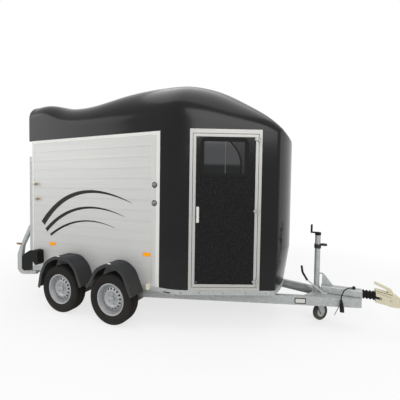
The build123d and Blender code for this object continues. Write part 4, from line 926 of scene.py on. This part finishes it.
@dataclass
class RunningGear(SubAssembly):
    """Axles, wheels and tyres."""

    finishes: dict[str, str] = field(default_factory=lambda: {
        "axle_front": "axle_paint", "axle_rear": "axle_paint",
        **{f"tyre_{wheel.label}": "tyre_rubber" for wheel in WHEELS},
        **{f"wheel_{wheel.label}": "wheel_silver" for wheel in WHEELS},
    })
    bore: float = 0.02005
    hole_count: int = 16
    hole_band: tuple[float, float] = (0.104, 0.124)
    nut_count: int = 5
    nut_circle: float = 0.056
    steel: float = 0.0035
    valve_turn: float = 1.1
    valve_foot: Spot = (0.146, 0.0, 0.012)
    tread_start: float = 0.279
    lug_bands: Outline = field(default_factory=lambda: [(0.047, 0.058), (0.0585, 0.066), (0.0175, 0.0345)])
    lug_gap: float = 0.0042
    lug_depth: float = 0.0035
    rim_outline: Outline = field(default_factory=lambda: [
        (0.1825, -0.068), (0.1825, -0.0625), (0.165, -0.0625), (0.165, 0.0625), (0.1825, 0.0625),
        (0.1825, 0.066), (0.1805, 0.068), (0.175, 0.068), (0.168, 0.064), (0.163, 0.056), (0.160, 0.040),
        (0.152, 0.028), (0.150, 0.0), (0.156, -0.03), (0.161, -0.062),
    ])
    dish_outline: Outline = field(default_factory=lambda: [
        (0.026, 0.026), (0.032, 0.029), (0.064, 0.030), (0.074, 0.036), (0.084, 0.045), (0.093, 0.047),
        (0.102, 0.0435), (0.126, 0.030), (0.136, 0.021), (0.146, 0.0155), (0.153, 0.013),
    ])
    drum_outline: Outline = field(default_factory=lambda: [
        (0, 0.024), (0.062, 0.022), (0.064, 0.009), (0.149, 0.007), (0.149, 0.003), (0.112, 0.002),
        (0.112, -0.070),
    ])
    stem_outline: Outline = field(default_factory=lambda: [
        (0, 0.034), (0.003, 0.034), (0.0036, 0.03), (0.0036, 0.012), (0.006, 0.006), (0.007, 0), (0, 0),
    ])
    cap_outline: Outline = field(default_factory=lambda: [
        (0, 0.052), (0.018, 0.0515), (0.0245, 0.049), (0.0265, 0.045), (0.029, 0.044), (0.030, 0.024),
        (0, 0.024),
    ])
    nut_outline: Outline = field(default_factory=lambda: [
        (0, 0.045), (0.0075, 0.044), (0.0095, 0.041), (0.0105, 0.032), (0.014, 0.030), (0.014, 0.026),
        (0, 0.026),
    ])
    tyre_half_outline: Outline = field(default_factory=lambda: [
        (0.1655, 0.060), (0.1845, 0.062), (0.190, 0.067), (0.200, 0.0745), (0.212, 0.0795), (0.221, 0.081),
        (0.2225, 0.0824), (0.2275, 0.0825), (0.229, 0.0812), (0.240, 0.0822), (0.252, 0.0803), (0.262, 0.0776),
        (0.270, 0.0745), (0.2765, 0.0708), (0.281, 0.066), (0.2845, 0.058), (0.2868, 0.0465), (0.2865, 0.0435),
        (0.2800, 0.0425), (0.2800, 0.0360), (0.2872, 0.0350), (0.2876, 0.0172), (0.2870, 0.0160),
        (0.2805, 0.0152), (0.2805, 0.0092), (0.2875, 0.0083),
    ])

    def tyre(self, wheel: WheelPlace) -> bpy.types.Object:
        """One tyre with a ribbed sidewall, grooves round the tread and cuts in its shoulders.

        Args:
            wheel: The wheel's place.

        Returns:
            The piece.
        """
        inner_half = [(radius, -across) for radius, across in reversed(self.tyre_half_outline)]
        part = turned(self.tyre_half_outline + inner_half, steps=72, closed=True)
        for low, high in self.lug_bands:
            lugs = []
            for face in part.faces:
                middle = face.calc_center_median()
                if low < abs(middle.z) < high and middle.xy.length > self.tread_start:
                    lugs.append(face)
            bmesh.ops.inset_individual(part, faces=lugs, thickness=self.lug_gap, depth=-self.lug_depth)
        return self.add(f"road_tyre_{wheel.label}", joined((part, wheel.hub)), "tyre_rubber",
                        f"road_wheel_{wheel.label}", (f"tyre_{wheel.label}",))

    def drum(self, wheel: WheelPlace) -> bpy.types.Object:
        """The brake drum, black as painted shade, that shows through one wheel's holes and behind it.

        Args:
            wheel: The wheel's place.

        Returns:
            The piece.
        """
        inner_end = self.drum_outline[-1][1]
        part = turned([*self.drum_outline, (self.bore, inner_end), (self.bore, 0.0), (0, 0.0)], steps=48)
        # Painted shade: the drum is black so that the wheel's holes look shaded.
        return self.add(f"drum_face_painted_shade_{wheel.label}", joined((part, wheel.hub)), "drum_black",
                        f"road_wheel_{wheel.label}")

    def valve(self, wheel: WheelPlace) -> bpy.types.Object:
        """The valve stem in one wheel's rim.

        Args:
            wheel: The wheel's place.

        Returns:
            The piece.
        """
        foot = wheel.hub @ Matrix.Rotation(self.valve_turn, 4, "Z") @ Matrix.Translation(self.valve_foot)
        part = turned(self.stem_outline, steps=12)
        return self.add(f"valve_{wheel.label}", joined((part, foot)), "black_rubber",
                        f"road_wheel_{wheel.label}")

    def rim(self, wheel: WheelPlace) -> bpy.types.Object:
        """One wheel's rim with its hub cap and nuts.

        Args:
            wheel: The wheel's place.

        Returns:
            The piece.
        """
        parts = [(turned(self.rim_outline, steps=72, closed=True), wheel.hub)]
        parts.append((turned(self.cap_outline, steps=32), wheel.hub))
        for step in range(self.nut_count):
            turn = Matrix.Rotation(math.tau * step / self.nut_count, 4, "Z")
            place = turn @ Matrix.Translation((self.nut_circle, 0, 0))
            parts.append((turned(self.nut_outline, steps=6), wheel.hub @ place))
        return self.add(f"wheel_rim_{wheel.label}", joined(*parts), "wheel_silver", f"road_wheel_{wheel.label}",
                        (f"wheel_{wheel.label}",))

    def dish(self, wheel: WheelPlace) -> bpy.types.Object:
        """The pressed dish of one wheel, with its round holes.

        Args:
            wheel: The wheel's place.

        Returns:
            The piece.
        """
        steps = 2 * self.hole_count
        part = turned(self.dish_outline, steps)
        low, high = self.hole_band
        opened = []
        for face in part.faces:
            middle = face.calc_center_median()
            step = math.floor(math.atan2(middle.y, middle.x) / math.tau * steps)
            if low < middle.xy.length < high and step % 2 == 0:
                opened.append(face)
        bmesh.ops.delete(part, geom=opened, context="FACES")
        if sum(face.normal.z for face in part.faces) < 0:
            bmesh.ops.reverse_faces(part, faces=part.faces)
        piece = self.add(f"wheel_dish_{wheel.label}", joined((part, wheel.hub)), "wheel_silver",
                         f"road_wheel_{wheel.label}")
        rounding = piece.modifiers.new("pressed_roundings", "SUBSURF")
        rounding.levels = 2
        rounding.render_levels = 2
        sheet = piece.modifiers.new("steel_thickness", "SOLIDIFY")
        sheet.thickness = self.steel
        return piece

    def build(self) -> list[bpy.types.Object]:
        """Builds each wheel's tyre, drum, valve, rim and dish.

        Returns:
            The pieces.
        """
        makers = (self.tyre, self.drum, self.valve, self.rim, self.dish)
        return [make(wheel) for wheel in WHEELS for make in makers]


@dataclass
class Drawbar(SubAssembly):
    """Jockey wheel, overrun housing, handbrake and coupling."""

    finishes: dict[str, str] = field(default_factory=lambda: {
        "jockey_tube": "galvanised_zinc", "jockey_crank": "black_rubber", "jockey_stem": "hinge_metal",
        "jockey_fork": "galvanised_zinc", "jockey_wheel": "jockey_tyre", "jockey_collar": "black_moulded",
        "overrun_housing": "galvanised_zinc", "bellows": "black_rubber", "coupling_head": "cream_paint",
        "coupling_handle": "cream_paint", "brake_lever": "post_silver", "brake_grip": "black_rubber",
        "trailer_lead": "black_rubber", "trailer_plug": "black_rubber", "lead_relief": "black_rubber",
    })
    lead_route: list[Spot] = field(default_factory=lambda: [
        (1.914, -0.034, 0.454), (1.888, -0.0535, 0.455), (1.858, -0.078, 0.449), (1.833, -0.101, 0.430),
        (1.816, -0.121, 0.399), (1.805, -0.129, 0.366), (1.807, -0.132, 0.336),
    ])
    lead_diameter: float = 0.011
    lead_length: float = 0.215
    roller_centre: Spot = (1.6085, 0.0495, 0.1)
    roller_face: Outline = field(default_factory=lambda: [
        (0.012, 0.0235), (0.022, 0.0235), (0.03, 0.021), (0.045, 0.0205), (0.053, 0.0225), (0.06, 0.0195),
        (0.06, 0.0182), (0.012, 0.0182),
    ])
    head_rear: float = 2.148
    head_half: float = 0.042
    head_bolts: Outline = field(default_factory=lambda: [(0.040, 0.378), (0.138, 0.372)])
    # A black plate painted as the shade inside a slot of the coupling head.
    slot_place: tuple[float, float] = (0.022, 0.383)
    slot: PlateSize = PlateSize(0.066, 0.026, 0.0012, corner=0.012)
    slot_lean: float = 0.2
    seam_width: float = 0.005
    fold_width: float = 0.0025
    line_thickness: float = 0.001
    bolt_outline: Outline = field(default_factory=lambda: [
        (0, 0.007), (0.008, 0.007), (0.0095, 0.005), (0.0095, 0), (0, 0),
    ])
    # Thin black strips painted as shade along the head's seam and fold.
    head_seam: Outline = field(default_factory=lambda: [
        (0.006, 0.456), (0.060, 0.449), (0.108, 0.441), (0.150, 0.431),
    ])
    head_fold: Outline = field(default_factory=lambda: [
        (0.006, 0.435), (0.028, 0.437), (0.050, 0.428), (0.072, 0.419), (0.094, 0.421), (0.118, 0.411),
        (0.140, 0.409),
    ])

    def lead(self) -> bpy.types.Object:
        """The electric lead from its relief on the housing over the rail to its plug.

        Returns:
            The piece.
        """
        curve = bpy.data.curves.new("electric_lead", "CURVE")
        curve.dimensions = "3D"
        spline = curve.splines.new("NURBS")
        spline.points.add(len(self.lead_route) - 1)
        for point, spot in zip(spline.points, self.lead_route):
            point.co = (*spot, 1.0)
        spline.order_u = 3
        spline.use_endpoint_u = True
        curve.bevel_depth = self.lead_diameter / 2
        curve.bevel_resolution = 5
        curve.resolution_u = 10
        curve.use_fill_caps = True
        piece = bpy.data.objects.new("electric_lead", curve)
        bpy.context.scene.collection.objects.link(piece)
        self.shop.paint(piece, "black_rubber")
        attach(piece, "trailer")
        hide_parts("trailer_lead")
        return piece

    def roller_rim(self) -> bpy.types.Object:
        """The pale discs in both faces of the jockey wheel.

        Returns:
            The piece.
        """
        way = Vector((-1, 1, 0)).normalized()
        parts = []
        for sign in (1, -1):
            turn = (sign * way).to_track_quat("Z", "X").to_matrix().to_4x4()
            place = Matrix.Translation(self.roller_centre) @ turn
            parts.append((turned(self.roller_face, steps=40, closed=True), place))
        return self.add("roller_rim", joined(*parts), "galvanised_zinc", "jockey_roller")

    def head_details(self) -> list[bpy.types.Object]:
        """The six-sided bolts on both sides of the coupling head, with black plates and strips painted as the
        shade in its slots, along its seam and in its fold.

        Returns:
            The pieces.
        """
        bolts, dark = [], []
        slot_x, slot_z = self.slot_place
        for side in SIDES.values():
            face = on_wall(self.head_rear, 0.0, side, self.head_half)
            bolts += [(turned(self.bolt_outline, steps=6), on_wall(self.head_rear + x, z, side, self.head_half))
                      for x, z in self.head_bolts]
            # Painted shade: a black plate in the slot and black strips along the seam and the fold.
            lean = Matrix.Rotation(side * self.slot_lean, 4, "Z")
            place = on_wall(self.head_rear + slot_x, slot_z, side, self.head_half) @ lean
            dark.append((plate(self.slot), place))
            for line, width in ((self.head_seam, self.seam_width), (self.head_fold, self.fold_width)):
                upper = [(-side * x, z + width / 2) for x, z in line]
                lower = [(-side * x, z - width / 2) for x, z in line]
                dark.append((strip(lower, upper, self.line_thickness), face))
        return [
            self.add("head_bolts", joined(*bolts), "galvanised_zinc"),
            self.add("head_seams", joined(*dark), "drum_black"),
        ]

    def build(self) -> list[bpy.types.Object]:
        """Builds the lead, the jockey wheel's discs and the coupling's bolts.

        Returns:
            The pieces.
        """
        return [self.lead(), self.roller_rim(), *self.head_details()]


@dataclass
class Studio:
    """Pale floor, soft light and the camera at the photograph's angle."""

    eye: Spot = (1.4088, -3.3574, 1.5072)
    yaw: float = 0.3819
    pitch: float = 0.0327
    roll: float = 0.0151
    lens: float = 23.576
    sensor: float = 36.0
    sight: float = 200.0
    floor_size: float = 120.0
    shadow_reach: float = 2.6
    fade_stretch: float = 2.2
    floor_lift: float = 0.72
    floor_colour: tuple[float, float, float, float] = (0.86, 0.86, 0.86, 1.0)
    floor_roughness: float = 0.9
    sky_light: float = 0.55
    lamps: dict[str, tuple[Spot, Spot, float, float]] = field(default_factory=lambda: {
        "overhead": ((0.0, 0.0, 7.5), (0.0, 0.0, 0.0), 7.0, 260.0),
        "key": ((4.5, -6.5, 5.5), (0.1, 0.0, 1.0), 4.5, 260.0),
        "fill": ((-6.0, -4.5, 3.5), (-0.5, 0.0, 1.0), 4.0, 90.0),
    })

    def place_camera(self) -> None:
        """Creates the camera and makes it the scene's."""
        data = bpy.data.cameras.new("photo_camera")
        data.sensor_width = self.sensor
        data.lens = self.lens
        data.clip_end = self.sight
        camera = bpy.data.objects.new("photo_camera", data)
        bpy.context.scene.collection.objects.link(camera)
        turn = (Matrix.Rotation(self.yaw, 4, "Z") @ Matrix.Rotation(math.pi / 2 - self.pitch, 4, "X")
                @ Matrix.Rotation(self.roll, 4, "Z"))
        camera.matrix_world = Matrix.Translation(self.eye) @ turn
        bpy.context.scene.camera = camera

    def lay_floor(self) -> None:
        """Lays the pale floor on the ground under the wheels."""
        shape = bmesh.new()
        bmesh.ops.create_grid(shape, x_segments=1, y_segments=1, size=self.floor_size / 2)
        data = bpy.data.meshes.new("floor")
        shape.to_mesh(data)
        shape.free()
        floor = bpy.data.objects.new("floor", data)
        bpy.context.scene.collection.objects.link(floor)
        data.materials.append(self.floor_material())

    def floor_material(self) -> bpy.types.Material:
        """A pale floor that turns plain white away from the trailer where the camera and reflections see it.

        Returns:
            The material.
        """
        material = bpy.data.materials.new("pale_floor")
        material.use_nodes = True
        tree = material.node_tree
        shader = tree.nodes["Principled BSDF"]
        shader.inputs["Base Color"].default_value = self.floor_colour
        shader.inputs["Roughness"].default_value = self.floor_roughness
        place = new_node(tree, "TexCoord", {}).outputs["Object"]
        reach = new_node(tree, "VectorMath", {0: place}, operation="LENGTH").outputs["Value"]
        fade = {"Value": reach, "From Min": self.shadow_reach, "From Max": self.fade_stretch * self.shadow_reach,
                "To Min": self.floor_lift}
        away = new_node(tree, "MapRange", fade, interpolation_type="SMOOTHSTEP").outputs["Result"]
        share = new_node(tree, "Math", {0: self.seen_rays(tree), 1: away}, operation="MULTIPLY").outputs["Value"]
        white = new_node(tree, "Emission", {}).outputs["Emission"]
        mix = new_node(tree, "MixShader", {"Fac": share, 1: shader.outputs["BSDF"], 2: white})
        tree.links.new(mix.outputs["Shader"], tree.nodes["Material Output"].inputs["Surface"])
        return material

    def seen_rays(self, tree: bpy.types.NodeTree) -> bpy.types.NodeSocket:
        """Marks the rays of the camera, of reflections and through glass.

        Args:
            tree: The material's or world's tree.

        Returns:
            A socket that is 1 for those rays and 0 for others.
        """
        path = new_node(tree, "LightPath", {}).outputs
        seen = path["Is Camera Ray"]
        for label in ("Is Glossy Ray", "Is Transmission Ray"):
            seen = new_node(tree, "Math", {0: seen, 1: path[label]}, operation="MAXIMUM").outputs["Value"]
        return seen

    def hang_lamps(self) -> None:
        """Hangs large soft lamps round the trailer."""
        for name, (place, target, size, power) in self.lamps.items():
            data = bpy.data.lights.new(name, "AREA")
            data.shape = "SQUARE"
            data.size = size
            data.energy = power
            lamp = bpy.data.objects.new(name, data)
            bpy.context.scene.collection.objects.link(lamp)
            aim = (Vector(target) - Vector(place)).to_track_quat("-Z", "Y")
            lamp.matrix_world = Matrix.Translation(place) @ aim.to_matrix().to_4x4()

    def light_world(self) -> None:
        """Gives a dim even sky for light, and a white one where the camera and reflections see it."""
        world = bpy.data.worlds.new("studio")
        world.use_nodes = True
        tree = world.node_tree
        sky = tree.nodes["Background"]
        levels = {"Value": self.seen_rays(tree), "To Min": self.sky_light, "To Max": 1.0}
        strength = new_node(tree, "MapRange", levels).outputs["Result"]
        tree.links.new(strength, sky.inputs["Strength"])
        sky.inputs["Color"].default_value = (1.0, 1.0, 1.0, 1.0)
        bpy.context.scene.world = world

    def build(self) -> None:
        """Sets up camera, floor, lamps and world."""
        bpy.context.scene.view_settings.view_transform = "Standard"
        self.place_camera()
        self.lay_floor()
        self.hang_lamps()
        self.light_world()


def main() -> None:
    """Loads the frame, dresses each group of pieces and sets up the studio."""
    logging.basicConfig(level=logging.INFO, format="%(message)s")
    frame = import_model()
    shop = Paintshop()
    Studio().build()
    for group in (Body, SideDoor, Ramp, RunningGear, Drawbar):
        assembly = group(shop, frame["nodes"])
        assembly.dress()
        for piece in assembly.build():
            log.info("%s: %s", group.__name__, piece.name)


if __name__ == "__main__":
    main()
